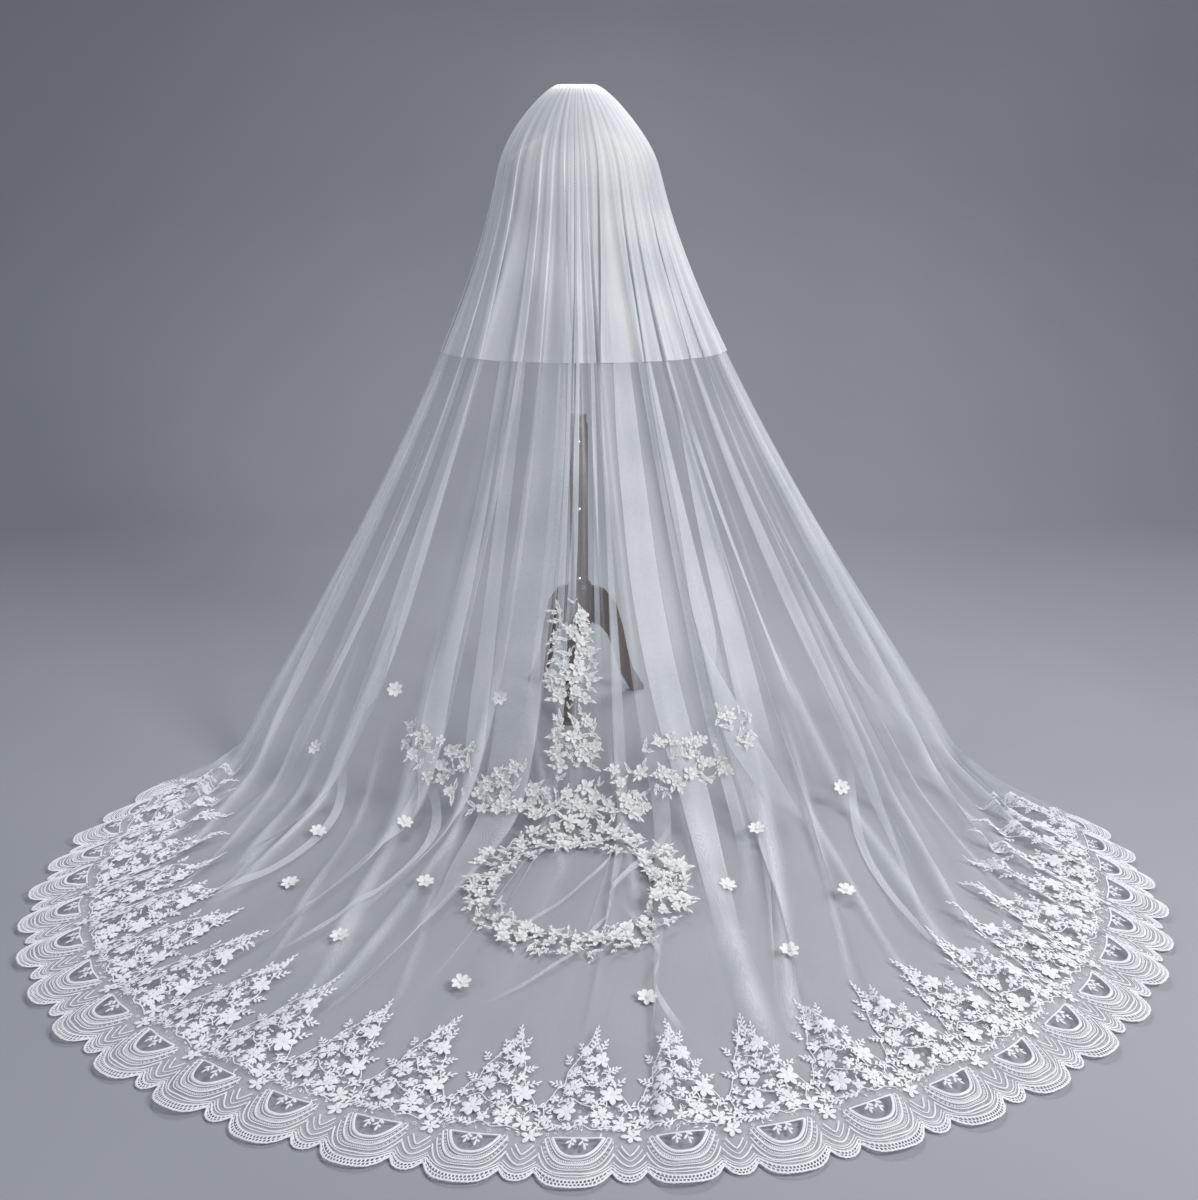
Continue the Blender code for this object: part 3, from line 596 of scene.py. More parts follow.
def strip_points(strip, lifted):
    """Points of a flattened pleat that lies on the net, and how much light it stops."""
    last_row, last_column = lifted.shape[0] - 1, lifted.shape[1] - 1
    shares, places = zip(*strip.knots)
    rows = np.arange(round(shares[0] * last_row), round(shares[-1] * last_row) + 1)
    along = np.linspace(0, 1, len(rows))
    middle = eased(np.interp(rows / last_row, shares, places))
    width = strip.width + (strip.end_width - strip.width) * along
    column = middle[:, None] + width[:, None] * np.linspace(-0.5, 0.5, STRIP_COLUMNS)
    column = np.clip(column, 0, 0.999) * last_column
    low = column.astype(int)
    part = (column - low)[..., None]
    laid = lifted[rows[:, None], low] * (1 - part) + lifted[rows[:, None], low + 1] * part
    cover = strip.cover * faded(along, STRIP_FADE)[:, None]
    return laid, np.broadcast_to(cover, column.shape)


def add_long_tier():
    rows = panel_rows()
    share = np.linspace(0, 1, len(rows))[:, None]
    side = smooth_step(np.abs(fold_values("place"))[fold_columns(STEPS)[0]], *SIDE_PLACES)[None]
    opened = smooth_step(share + SIDE_EARLIER * side, *OPEN_SHARES)
    curl = hanging_curl(share) * (1 - OPENED * opened)
    points, out, layers = cloth(rows, share, STEPS, 0.0, curl)
    parts = [grid_part(points)]
    density = [layer_density(points, out, layers, table_at(NET_DENSITY, share)).ravel()]
    for strip in STRIPS:
        laid, cover = strip_points(strip, points + STRIP_LIFT * out)
        parts.append(grid_part(laid))
        density.append(cover.ravel())
    panel = mesh_object("long_tier_net", *joined(parts))
    set_density(panel, np.concatenate(density))
    dress(panel, NET, "tulle", "long_tier")
    return panel, points


def add_short_tier():
    """The upper tier nests on the long one: the same folds, laid a little further out."""
    rows, below = short_rows(), panel_rows()
    heights = below[::-1, ROW_FIELDS["height"]]
    share_below = np.linspace(1, 0, len(below))
    share = np.interp(rows[:, ROW_FIELDS["height"]], heights, share_below)[:, None]
    points, out, layers = cloth(rows, share, STEPS, SHORT_LIFT, hanging_curl(share))
    panel = mesh_object("short_tier_net", *grid_part(points))
    down = np.linspace(0, 1, len(rows))[:, None]
    set_density(panel, layer_density(points, out, layers, table_at(SHORT_DENSITY, down)))
    dress(panel, SHORT_NET, "tulle", "short_tier")
    return panel


BORDER_SHARES = (LACE_LAP + 0.02, -0.04)
BORDER_ROWS = 24
BORDER_STEPS = 12


def border_ground():
    """The border's own form past the panel's hem, which its lace is laid on."""
    shares = np.linspace(*BORDER_SHARES, BORDER_ROWS)
    rows = mixed(HEM_RING, TRAIN_RING, shares)
    points, _, _ = cloth(rows, np.ones((len(rows), 1)), BORDER_STEPS, 0.0, 0.0)
    return points


DOWN = (0, 0, -1)
INWARD = (0, 1, 0)
# Where rays start: above the train, above everything, and behind everything
CAST_HEIGHT = 0.6
CAST_TOP = 1.0
CAST_BACK = -3.0


class Ground:
    """Finds the height and slope of the cloth under a plan point, or behind an upright one."""

    def __init__(self, *grids):
        self.trees = []
        for grid in grids:
            points, faces = grid_part(grid)
            self.trees.append(BVHTree.FromPolygons(points.tolist(), faces.tolist()))

    def cast(self, origin, direction):
        best = None
        for tree in self.trees:
            place, normal, _, distance = tree.ray_cast(Vector(origin), Vector(direction))
            if place is not None and (best is None or distance < best[2]):
                best = (place, normal, distance)
        return best

    def heights(self, plan):
        found = np.zeros(len(plan))
        for k, (x, y) in enumerate(plan):
            hit = self.cast((x, y, CAST_HEIGHT), DOWN)
            found[k] = hit[0].z if hit else 0.0
        return found


# The lace border. One repeat is drawn flat, in metres, then laid on the cloth.

REPEAT_WIDTH = 0.170
BORDER_HEIGHT = 0.370
LACE_LIFT = 0.0026
LACE_NET_LIFT = 0.0016
LACE_NET_COLUMNS = 25
# How much light the lace's own net stops, row by row from the holes to the trees
LACE_NET_LOW = (0.40, 0.40, 0.30, 0.24)
LACE_NET_HIGH = (0.30, 0.24, 0.14, 0.04)
# A drawn petal: shares of its length, width and height. A cord's ridge is a share of its width
PETAL_PROFILE = (
    (0.0, 0.30, 0.4), (0.30, 0.72, 1.0), (0.60, 1.0, 1.0), (0.84, 0.70, 0.8), (1.0, 0.10, 0.3),
)
PETAL_PUFF = 0.0013
CORD_RIDGE = 0.45
ROSE_SPREADS = (-0.42, -0.14, 0.14, 0.42)
ROSE_PUFF = 0.0009
# Turns in radians, as the flowers use them
FULL_TURN = 6.28
CIRCLE = 6.283
THIRD_TURN = 2.094
FIFTH_TURN = 1.2566
SEVENTH_TURN = 0.8976


class Drawing:
    """Raised threads, petals and cords, as points (x, y, height) and four-cornered faces."""

    def __init__(self):
        self.points = []
        self.faces = []

    def strip(self, stations, lift):
        """Faces along stations: the middle, the way to the left side and the ridge's height."""
        start = len(self.points)
        for x, y, left_x, left_y, ridge in stations:
            self.points.extend((
                (x + left_x, y + left_y, lift), (x, y, lift + ridge),
                (x - left_x, y - left_y, lift),
            ))
        for a in range(start, start + 3 * (len(stations) - 1), 3):
            self.faces.append((a, a + 3, a + 4, a + 1))
            self.faces.append((a + 1, a + 4, a + 5, a + 2))

    def petal(self, x, y, angle, length, width, lift=0.0, puff=PETAL_PUFF):
        along_x, along_y = math.cos(angle), math.sin(angle)
        stations = []
        for t, wide, high in PETAL_PROFILE:
            half = wide * width / 2
            middle = (x + along_x * length * t, y + along_y * length * t)
            stations.append((*middle, -along_y * half, along_x * half, puff * high))
        self.strip(stations, lift)

    def cord(self, line, width, lift=0.0):
        stations = []
        for k, (x, y) in enumerate(line):
            before, after = line[max(k - 1, 0)], line[min(k + 1, len(line) - 1)]
            dx, dy = after[0] - before[0], after[1] - before[1]
            size = math.hypot(dx, dy) or 1.0
            left = (-dy / size * width / 2, dx / size * width / 2)
            stations.append((x, y, *left, width * CORD_RIDGE))
        self.strip(stations, lift)

    def flower(self, x, y, radius, petals, turn, lift=0.0, share=0.56):
        """Separate pointed petals, share is a petal's width as a share of the radius."""
        for k in range(petals):
            angle = turn + 2 * math.pi * (k + 0.12 * math.sin(5.3 * k + turn)) / petals
            base = radius * 0.06
            length = radius * (0.92 + 0.14 * math.sin(3.1 * k + 2 * turn))
            self.petal(
                x + base * math.cos(angle), y + base * math.sin(angle), angle,
                length, radius * share, lift + 0.0002 * (k % 2),
            )
        self.bead(x, y, radius * 0.13, lift + 0.0012)

    def rose(self, x, y, radius, turn, lift=0.0):
        """Round outlined petals with ribs of thread, and a small full flower in the middle."""
        for k in range(5):
            angle = turn + FIFTH_TURN * k
            for spread in ROSE_SPREADS:
                foot = angle + spread * 0.7
                start, end = radius * 0.34, radius * (0.97 - 0.5 * spread ** 2)
                self.petal(
                    x + start * math.cos(foot), y + start * math.sin(foot),
                    angle + spread, end - start, radius * 0.20, lift, ROSE_PUFF,
                )
        self.flower(x, y, radius * 0.50, 5, turn + 0.6, lift + 0.0010, 0.62)

    def bead(self, x, y, radius, lift):
        corners = [(x + radius * math.cos(a), y + radius * math.sin(a), lift)
                   for a in (math.pi / 3 * k for k in range(6))]
        top = (x, y, lift + radius * 0.6)
        start = len(self.points)
        self.points.extend(corners + [top])
        for k in range(0, 6, 2):
            self.faces.append((start + k, start + k + 1, start + (k + 2) % 6, start + 6))

    def ring(self, x, y, radius, width, lift=0.0, sides=8):
        line = [(x + radius * math.cos(a), y + radius * math.sin(a))
                for a in (2 * math.pi * k / sides for k in range(sides + 1))]
        self.cord(line, width, lift)

    def sprig(self, x, y, angle, length, leaves, width=0.0060, lift=0.0):
        """A stem with leaves on both sides and one at its tip."""
        end = (x + length * math.cos(angle), y + length * math.sin(angle))
        self.cord([(x, y), ((x + end[0]) / 2, (y + end[1]) / 2), end], 0.0016, lift)
        for k in range(leaves):
            t = (k + 0.6) / leaves
            px, py = x + (end[0] - x) * t, y + (end[1] - y) * t
            size = 0.013 * (1 - 0.35 * t)
            side = 1 if k % 2 == 0 else -1
            self.petal(px, py, angle + side * 0.85, size, width * (1 - 0.25 * t), lift)
        self.petal(end[0], end[1], angle, 0.012, width * 0.8, lift)


# Flowers of one tree: place across the repeat, share of the border's height, radius, petals
TreeFlower = namedtuple("TreeFlower", "across up radius petals")
TREE_FLOWERS = tuple(TreeFlower(*row) for row in (
    (0.325, 0.443, 0.0215, 6), (0.8, 0.55, 0.023, 6), (0.625, 0.775, 0.02, 6),
    (0.31, 0.7, 0.015, 5), (0.02, 0.3, 0.017, 5), (0.91, 0.372, 0.0185, 5), (0.55, 0.52, 0.014, 5),
    (0.56, 0.655, 0.013, 6), (0.13, 0.4, 0.013, 5), (0.42, 0.835, 0.0125, 5),
    (0.5, 0.385, 0.013, 5), (0.47, 0.775, 0.01, 5), (0.16, 0.53, 0.0105, 5),
    (0.75, 0.655, 0.011, 5),
))
TREE_ROSES = (TreeFlower(0.36, 0.595, 0.0225, 5), TreeFlower(0.70, 0.410, 0.0230, 5))
# Stems with leaves: where each starts, the way it grows in degrees, and its length in metres
Sprig = namedtuple("Sprig", "across up degrees length leaves")
TREE_SPRIGS = tuple(Sprig(*row) for row in (
    (0.51, 0.85, 91, 0.052, 9), (0.45, 0.8, 112, 0.034, 6), (0.6, 0.83, 72, 0.026, 5),
    (0.24, 0.62, 155, 0.022, 5), (0.8, 0.6, 40, 0.022, 4), (0.2, 0.47, 170, 0.02, 4),
    (0.72, 0.69, 35, 0.02, 5), (0.94, 0.44, 60, 0.022, 4), (0.08, 0.36, 110, 0.024, 5),
    (0.42, 0.49, 160, 0.018, 4), (0.6, 0.45, 60, 0.024, 5), (0.44, 0.345, 175, 0.024, 5),
    (0.26, 0.345, 165, 0.018, 4), (0.26, 0.76, 125, 0.018, 4), (0.6, 0.59, 30, 0.02, 4),
    (0.62, 0.345, 10, 0.022, 4), (0.46, 0.64, 70, 0.02, 4), (0.84, 0.48, 350, 0.018, 4),
    (0.44, 0.284, 262, 0.012, 3), (0.53, 0.284, 285, 0.016, 3), (0.96, 0.33, 15, 0.016, 3),
))
# Looping cords, as points (across, up)
TREE_CORDS = (
    ((0.04, 0.345), (0.1, 0.42), (0.07, 0.49), (0.13, 0.55), (0.17, 0.6), (0.24, 0.62),
     (0.25, 0.71), (0.33, 0.78), (0.4, 0.85), (0.47, 0.92), (0.5, 0.985)),
    ((0.96, 0.345), (0.9, 0.42), (0.97, 0.49), (0.86, 0.57), (0.77, 0.64), (0.72, 0.73),
     (0.63, 0.82), (0.55, 0.9), (0.5, 0.985)),
    ((0.1, 0.34), (0.22, 0.37), (0.36, 0.34), (0.5, 0.36), (0.62, 0.33), (0.76, 0.345),
     (0.9, 0.33)),
    ((0.22, 0.5), (0.34, 0.53), (0.46, 0.49), (0.58, 0.47), (0.68, 0.49), (0.78, 0.47)),
    ((0.26, 0.66), (0.4, 0.68), (0.48, 0.64), (0.56, 0.6), (0.66, 0.62), (0.72, 0.59)),
    ((0.4, 0.74), (0.5, 0.72), (0.58, 0.74), (0.54, 0.79), (0.46, 0.78)),
    ((0.62, 0.5), (0.7, 0.53), (0.74, 0.48), (0.66, 0.44), (0.58, 0.46)),
)
OUTER_EDGE = (
    (0.0, 0.042), (0.05, 0.046), (0.1, 0.06), (0.14, 0.086), (0.16, 0.095), (0.18, 0.08),
    (0.23, 0.046), (0.3, 0.02), (0.38, 0.008), (0.5, 0.003), (0.62, 0.008), (0.7, 0.02),
    (0.77, 0.046), (0.82, 0.08), (0.84, 0.095), (0.86, 0.086), (0.9, 0.06), (0.95, 0.046),
    (1.0, 0.042),
)
NOTCH = 0.16
HOLES_INSET = 0.038
HOLES = 30
THIN_CORD_INSET = 0.058
ARC_STEPS = 60
EDGE_STEPS = 96
RIM_STEPS = 24
WINDOW_SIDES = (0.25, 0.75)
WINDOW_TOP = 0.285
WINDOW_LOW = 0.172
# Edges of the lace's own net, set in from the outer edge, and where its two parts meet
DENSE_INSET = 0.062
CLEAR_INSET = 0.092
LACE_NET_SPLIT = 0.24


def edge_up(across):
    across = across % 1.0
    places, values = zip(*OUTER_EDGE)
    return float(np.interp(across, places, values)) + 0.0022 * abs(math.sin(24 * math.pi * across))


def scallop_arc(across, inset):
    """Height of an arc set in from the outer edge: one sag under the window, one between."""
    x = across % 1.0
    if NOTCH <= x <= 1 - NOTCH:
        t = (x - 0.5) / (0.5 - NOTCH)
        return 0.003 + inset + (0.092 - 0.25 * inset) * abs(t) ** 2.3
    t = (x - (1.0 if x > 0.5 else 0.0)) / NOTCH
    return 0.042 + inset * 0.9 + (0.053 - 0.15 * inset) * t * t


def window_low(across):
    t = (across - 0.5) / (WINDOW_SIDES[1] - 0.5)
    return WINDOW_LOW + (WINDOW_TOP - WINDOW_LOW) * abs(t) ** 2.6


# Cords round each window and in each small scallop: half width, lowest and highest points as
# shares of the repeat and of the border's height, how square the curve is, and the cord's width
Arc = namedtuple("Arc", "half low high power width")
WINDOW_ARCS = tuple(Arc(*row) for row in (
    (0.285, 0.153, 0.292, 2.6, 0.002), (0.32, 0.126, 0.282, 3.0, 0.0034),
    (0.34, 0.098, 0.24, 3.4, 0.0022), (0.35, 0.078, 0.2, 3.6, 0.003),
))
SMALL_ARCS = tuple(Arc(*row) for row in (
    (0.085, 0.19, 0.245, 1.3, 0.003), (0.115, 0.16, 0.222, 1.5, 0.002),
    (0.14, 0.13, 0.19, 1.7, 0.003), (0.15, 0.105, 0.15, 1.8, 0.002),
))

# Rows of small rings under the window: their arc, number of steps and radius
BEAD_ROWS = (
    (Arc(0.303, 0.139, 0.288, 3.0, 0.0034), 34, 0.0020),
    (Arc(0.330, 0.112, 0.262, 3.4, 0.0022), 30, 0.0018),
)


def arc_points(arc, middle, steps):
    line = []
    for k in range(steps + 1):
        t = -1 + 2 * k / steps
        up = arc.low + (arc.high - arc.low) * abs(t) ** arc.power
        line.append(flat(middle + arc.half * t, up))
    return line


def flat(across, up):
    return across * REPEAT_WIDTH, up * BORDER_HEIGHT


def arc_line(inset):
    places = [k / ARC_STEPS for k in range(ARC_STEPS + 1)]
    return [flat(a, scallop_arc(a, inset)) for a in places]


def smooth_line(points, steps=4):
    """A smooth curve through points (across, up)."""
    padded = [points[0]] + list(points) + [points[-1]]
    line = []
    for p0, p1, p2, p3 in zip(padded, padded[1:], padded[2:], padded[3:]):
        for k in range(steps):
            t = k / steps
            line.append(tuple(
                0.5 * (2 * b + (c - a) * t + (2 * a - 5 * b + 4 * c - d) * t * t
                       + (3 * b - a - 3 * c + d) * t ** 3)
                for a, b, c, d in zip(p0, p1, p2, p3)
            ))
    line.append(points[-1])
    return line


def draw_hole_row(drawing):
    """Two staggered rows of small square holes between the outer cords."""
    for k in range(HOLES):
        across = (k + 0.5) / HOLES
        low, high = edge_up(across), scallop_arc(across, HOLES_INSET)
        middle = (low + high) / 2
        drawing.cord([flat(across, low), flat(across, middle)], 0.0022, 0.0002)
        shifted = across + 0.5 / HOLES
        drawing.cord([flat(shifted, middle), flat(shifted, high)], 0.0022, 0.0002)
    places = [k / ARC_STEPS for k in range(ARC_STEPS + 1)]
    line = [flat(a, (edge_up(a) + scallop_arc(a, HOLES_INSET)) / 2) for a in places]
    drawing.cord(line, 0.0018, 0.0003)


def draw_border_bands(drawing):
    """The outer cords, the rows of holes and the arcs above them."""
    edge = [flat(k / EDGE_STEPS, edge_up(k / EDGE_STEPS)) for k in range(EDGE_STEPS + 1)]
    drawing.cord(edge, 0.0036, 0.0006)
    drawing.cord(arc_line(HOLES_INSET), 0.0030, 0.0004)
    draw_hole_row(drawing)
    drawing.cord(arc_line(THIN_CORD_INSET), 0.0018, 0.0003)
    for arc in WINDOW_ARCS:
        drawing.cord(arc_points(arc, 0.5, 34), arc.width, 0.0004)
    for arc in SMALL_ARCS:
        drawing.cord(arc_points(arc, 0.0, 12), arc.width, 0.0003)
    for arc, steps, radius in BEAD_ROWS:
        for x, y in arc_points(arc, 0.5, steps):
            drawing.ring(x, y, radius, 0.0012, 0.0002, 5)
    left, right = WINDOW_SIDES
    rim = [left + (right - left) * k / RIM_STEPS for k in range(RIM_STEPS + 1)]
    drawing.cord([flat(a, window_low(a)) for a in rim], 0.0052, 0.0006)
    drawing.cord([flat(a, WINDOW_TOP + 0.006 * math.sin(9 * a)) for a in rim], 0.0030, 0.0004)


def draw_tree(drawing, chance):
    for line in TREE_CORDS:
        drawing.cord([flat(*p) for p in smooth_line(line)], 0.0022, 0.0002)
    for sprig in TREE_SPRIGS:
        bend = chance.uniform(-0.2, 0.2)
        drawing.sprig(
            *flat(sprig.across, sprig.up), math.radians(sprig.degrees) + bend,
            sprig.length, sprig.leaves, 0.0058, 0.0003,
        )
    for flower in TREE_FLOWERS:
        turn = chance.uniform(0, FULL_TURN)
        drawing.flower(
            *flat(flower.across + chance.uniform(-0.01, 0.01), flower.up),
            flower.radius, flower.petals, turn, 0.0006,
        )
    for flower in TREE_ROSES:
        turn = chance.uniform(0, FULL_TURN)
        drawing.rose(*flat(flower.across, flower.up), flower.radius, turn, 0.0005)


# Half the tree's width at shares of the border's height, and how many small pieces fill it
TREE_UPS = (0.28, 0.36, 0.46, 0.54, 0.64, 0.76, 0.90, 1.0)
TREE_HALVES = (0.52, 0.44, 0.38, 0.40, 0.27, 0.20, 0.08, 0.02)
FILLING = 230
RING_CHANCE = 0.45


def draw_filling(drawing, chance):
    """Small leaves, loops and dots that fill the tree between its flowers."""
    for _ in range(FILLING):
        up = chance.uniform(0.30, 0.93)
        half = float(np.interp(up, TREE_UPS, TREE_HALVES))
        across = 0.5 + half * chance.uniform(-1, 1)
        if chance.random() < RING_CHANCE:
            drawing.ring(*flat(across, up), chance.uniform(0.0018, 0.0034), 0.0011, 0.0001, 6)
        else:
            drawing.petal(
                *flat(across, up), chance.uniform(0, FULL_TURN), chance.uniform(0.006, 0.011),
                chance.uniform(0.0028, 0.0042), 0.0002, 0.0008,
            )


def draw_repeat(seed):
    chance = np.random.default_rng(seed)
    drawing = Drawing()
    draw_border_bands(drawing)
    draw_tree(drawing, chance)
    draw_filling(drawing, chance)
    return np.array(drawing.points), np.array(drawing.faces)


def ring_at(ring, place):
    angle = np.radians(place * ring.sweep + ring.turn)
    x = ring.centre_x + ring.half_width * np.sin(angle)
    y = ring.centre_y - ring.reach * np.cos(angle)
    return np.stack((x, y), -1)


def border_plan(repeat, across, up):
    """Plan points of the border, as in the part's source."""
    place = np.clip(even_at((repeat + across) / REPEATS), -LACE_END, LACE_END)
    near_end = np.maximum(0.0, np.abs(place) - LACE_END_START) / LACE_END_RUN
    height = (1.0 - LACE_END_DROP * near_end ** 2)[..., None]
    low, high = ring_at(HEM_RING, place), ring_at(LACE_TIP_RING, place)
    return low + (high - low) * up[..., None] * height


def add_lace_net(name, first, last, ground):
    """The net under the lace: open at each window and between the outer cords."""
    across = np.linspace(0, 1, LACE_NET_COLUMNS)
    inside = (across > WINDOW_SIDES[0]) & (across < WINDOW_SIDES[1])
    insets = (HOLES_INSET, DENSE_INSET, CLEAR_INSET)
    low, dense, clear = (np.array([scallop_arc(a, inset) for a in across]) for inset in insets)
    split = np.where(inside, [window_low(a) for a in across], LACE_NET_SPLIT)
    top = np.where(inside, WINDOW_TOP, LACE_NET_SPLIT)
    even = np.ones(LACE_NET_COLUMNS)
    edges = (
        (np.stack((low, dense, clear, np.maximum(split, clear + 0.002))), LACE_NET_LOW),
        (np.stack((top, top + 0.03, 0.36 * even, 0.40 * even)), LACE_NET_HIGH),
    )
    parts, density = [], []
    for repeat in range(first, last):
        for ups, shades in edges:
            plan = border_plan(repeat, np.broadcast_to(across, ups.shape), ups).reshape(-1, 2)
            points = np.column_stack((plan, ground.heights(plan) + LACE_NET_LIFT))
            parts.append((points, grid_faces(*ups.shape)))
            density.extend(np.repeat(shades, LACE_NET_COLUMNS))
    net = mesh_object(name, *joined(parts))
    set_density(net, density)
    return net


def add_lace(node, first, last, drawings, ground):
    """The net of one length of the border, and the embroidery on it."""
    net = add_lace_net(f"{node}_net", first, last, ground)
    dress(net, LACE_NET, "lace", node)
    parts = []
    for repeat in range(first, last):
        points, faces = drawings[repeat % len(drawings)]
        plan = border_plan(repeat, points[:, 0] / REPEAT_WIDTH, points[:, 1] / BORDER_HEIGHT)
        heights = ground.heights(plan) + LACE_LIFT + points[:, 2]
        parts.append((np.column_stack((plan, heights)), faces))
    lace = mesh_object(f"{node}_embroidery", *joined(parts))
    dress(lace, THREAD, "lace", node)
    return net, lace


# Raised flowers and leaves. Each is built facing +Z, then turned to face out of the cloth.

CUPPED_PROFILE = (
    (0.06, 0.25, 0.0), (0.35, 0.72, 0.45), (0.66, 1.0, 0.85), (0.88, 0.74, 1.0), (1.0, 0.22, 0.92),
)
CURL_START = 0.6
CURL_GAIN = 6
PETAL_CUP = 0.16
LEAF_PROFILE = ((0.0, 0.15), (0.35, 0.85), (0.65, 0.90), (1.0, 0.02))
LEAF_ARCH = 1.9
LEAF_RIB = 0.12
SPRAY_PAIRS = 4
FULL_CHANCE = 0.52
LOWEST = 0.0012


def blade(rows, sides, angle, length, width, bend=0.0):
    """Points and faces of a petal or leaf that bends sideways along its length. A row has its
    shares of the length and width, its height, and how far its sides stand above that."""
    points = []
    for t, wide, height, edge in rows:
        turned = angle + bend * t
        for side in sides:
            offset = side * wide * width / 2
            x = length * t * math.cos(turned) - offset * math.sin(turned)
            y = length * t * math.sin(turned) + offset * math.cos(turned)
            points.append((x, y, height + edge * abs(side)))
    return np.array(points), grid_faces(len(rows), len(sides))


def cupped_petal(angle, length, width, rise, curl):
    """A petal that rises from the middle and curls at its rim."""
    rows = []
    for t, wide, high in CUPPED_PROFILE:
        height = rise * high - curl * max(0.0, t - CURL_START) ** 2 * CURL_GAIN
        rows.append((t, wide, height, PETAL_CUP * width * t))
    return blade(rows, (-1.0, -0.5, 0.0, 0.5, 1.0), angle, length, width)


def narrow_leaf(angle, length, width, rise, bend):
    """A pointed leaf with a raised rib."""
    edge = -LEAF_RIB * width
    rows = [(t, wide, rise * math.sin(LEAF_ARCH * t), edge) for t, wide in LEAF_PROFILE]
    return blade(rows, (-1.0, 0.0, 1.0), angle, length, width, bend)


def moved(part, *offset):
    points, faces = part
    return points + np.array(offset), faces


def full_flower(radius, chance):
    """A raised flower: five or six separate petals, small inner ones and a beaded middle."""
    parts = []
    turn = chance.uniform(0, FULL_TURN)
    count = 5 + int(chance.random() < 0.5)
    for k in range(count):
        length, width = radius * chance.uniform(0.85, 1.10), radius * chance.uniform(0.58, 0.74)
        rise = radius * chance.uniform(0.10, 0.42)
        parts.append(cupped_petal(turn + CIRCLE * k / count, length, width, rise, radius * 0.12))
    for k in range(5):
        rise = radius * chance.uniform(0.30, 0.5)
        leaf = narrow_leaf(turn + 0.5 + FIFTH_TURN * k, radius * 0.50, radius * 0.30, rise, 0.2)
        parts.append(moved(leaf, 0, 0, radius * 0.08))
    for k in range(3):
        x, y = (radius * 0.09 * turned(THIRD_TURN * k) for turned in (math.cos, math.sin))
        parts.append(moved(bead(radius * 0.08), x, y, radius * 0.26))
    return joined(parts)


def bead(radius):
    levels = ((1.0, 0.0), (0.75, 0.65), (0.12, 1.0))
    points = [(radius * r * math.cos(a), radius * r * math.sin(a), radius * z)
              for r, z in levels for a in (2 * math.pi * k / 6 for k in range(7))]
    return np.array(points), grid_faces(3, 7)


def daisy(radius, chance):
    """A flat separate flower of seven narrow rounded petals with a bead in its middle."""
    turn = chance.uniform(0, FULL_TURN)
    parts = []
    for k in range(7):
        rise = radius * chance.uniform(0.08, 0.30)
        parts.append(cupped_petal(turn + SEVENTH_TURN * k, radius, radius * 0.58, rise, 0.0))
    parts.append(moved(bead(radius * 0.18), 0, 0, radius * 0.10))
    return joined(parts)


def leaf_spray(length, chance):
    """Narrow pointed leaves on both sides of a bent stem, and one at its tip."""
    parts = []
    bend = chance.uniform(-0.5, 0.5)
    for k in range(SPRAY_PAIRS):
        along = length * (0.10 + 0.62 * k / SPRAY_PAIRS)
        angle = bend * k / SPRAY_PAIRS
        stem = (along * math.cos(angle), along * math.sin(angle), 0.002 * k)
        size = length * (0.40 - 0.05 * k) * chance.uniform(0.85, 1.15)
        for side in (-1, 1):
            turned = angle + side * chance.uniform(0.5, 0.9)
            rise = size * chance.uniform(0.10, 0.35)
            parts.append(moved(narrow_leaf(turned, size, size * 0.27, rise, -side * 0.3), *stem))
    tip = narrow_leaf(bend, length * 0.42, length * 0.14, length * 0.10, 0.0)
    parts.append(moved(tip, *stem))
    return joined(parts)


def facing(normal, turn):
    """Axes of a piece that faces along a normal, turned about it."""
    z = Vector(normal).normalized()
    side = Vector((1, 0, 0)) - z * z.x
    if side.length < 0.2:
        side = Vector((0, 1, 0)) - z * z.y
    side.normalize()
    other = z.cross(side)
    x = side * math.cos(turn) + other * math.sin(turn)
    return np.array((x, z.cross(x), z))


class Bouquet:
    """Collects raised flowers and sprays that are sewn along the cloth."""

    def __init__(self, ground, seed):
        self.ground = ground
        self.chance = np.random.default_rng(seed)
        self.parts = []

    def sew(self, piece, origin, direction, turn, lift):
        hit = self.ground.cast(origin, direction)
        if hit is None:
            return
        normal = hit[1] if hit[1].dot(Vector(direction)) < 0 else -hit[1]
        normal = (normal + Vector((0, -0.25, 0.55))).normalized()
        axes = facing(normal, turn)
        points, faces = piece
        placed = points @ axes + np.array(hit[0]) + np.array(normal) * lift
        placed[:, 2] = np.maximum(placed[:, 2], LOWEST)
        self.parts.append((placed, faces))

    def cluster(self, origin, direction, size, spray_turn):
        """A flower with sprays of leaves round it, or sprays and a bud alone."""
        chance = self.chance
        full = chance.random() < FULL_CHANCE
        self.sew(full_flower(size * (1.25 if full else 0.5), chance), origin, direction, 0.0, 0.006)
        for side in (-0.9, 0.9):
            turn = spray_turn + side + chance.uniform(-0.5, 0.5)
            length = size * chance.uniform(1.6, 2.5)
            spray = leaf_spray(length, chance)
            self.sew(spray, origin, direction, turn, chance.uniform(0.001, 0.007))

    def finished(self, name):
        points, faces = joined(self.parts)
        return mesh_object(name, points, faces)


COLUMN = (
    (0.14, 0.002, 0.05), (0.16, 0.004, 0.07), (0.19, 0.002, 0.058), (0.225, -0.008, 0.04),
    (0.25, -0.01, 0.016), (0.275, -0.012, 0.04), (0.31, -0.01, 0.072), (0.35, -0.006, 0.056),
    (0.385, -0.008, 0.062), (0.425, -0.012, 0.03), (0.45, -0.014, 0.036), (0.485, -0.012, 0.01),
)
GARLAND = (
    (-0.4, -0.618), (-0.35, -0.645), (-0.29, -0.672), (-0.22, -0.7), (-0.14, -0.722),
    (-0.06, -0.732), (0.02, -0.734), (0.095, -0.727), (0.165, -0.712), (0.23, -0.686),
    (0.295, -0.658), (0.36, -0.64), (0.425, -0.62),
)
RING_X, RING_Y, RING_MIDDLE, RING_HALF = 0.010, -1.015, 0.203, 0.036
RING_SPRAYS = 8
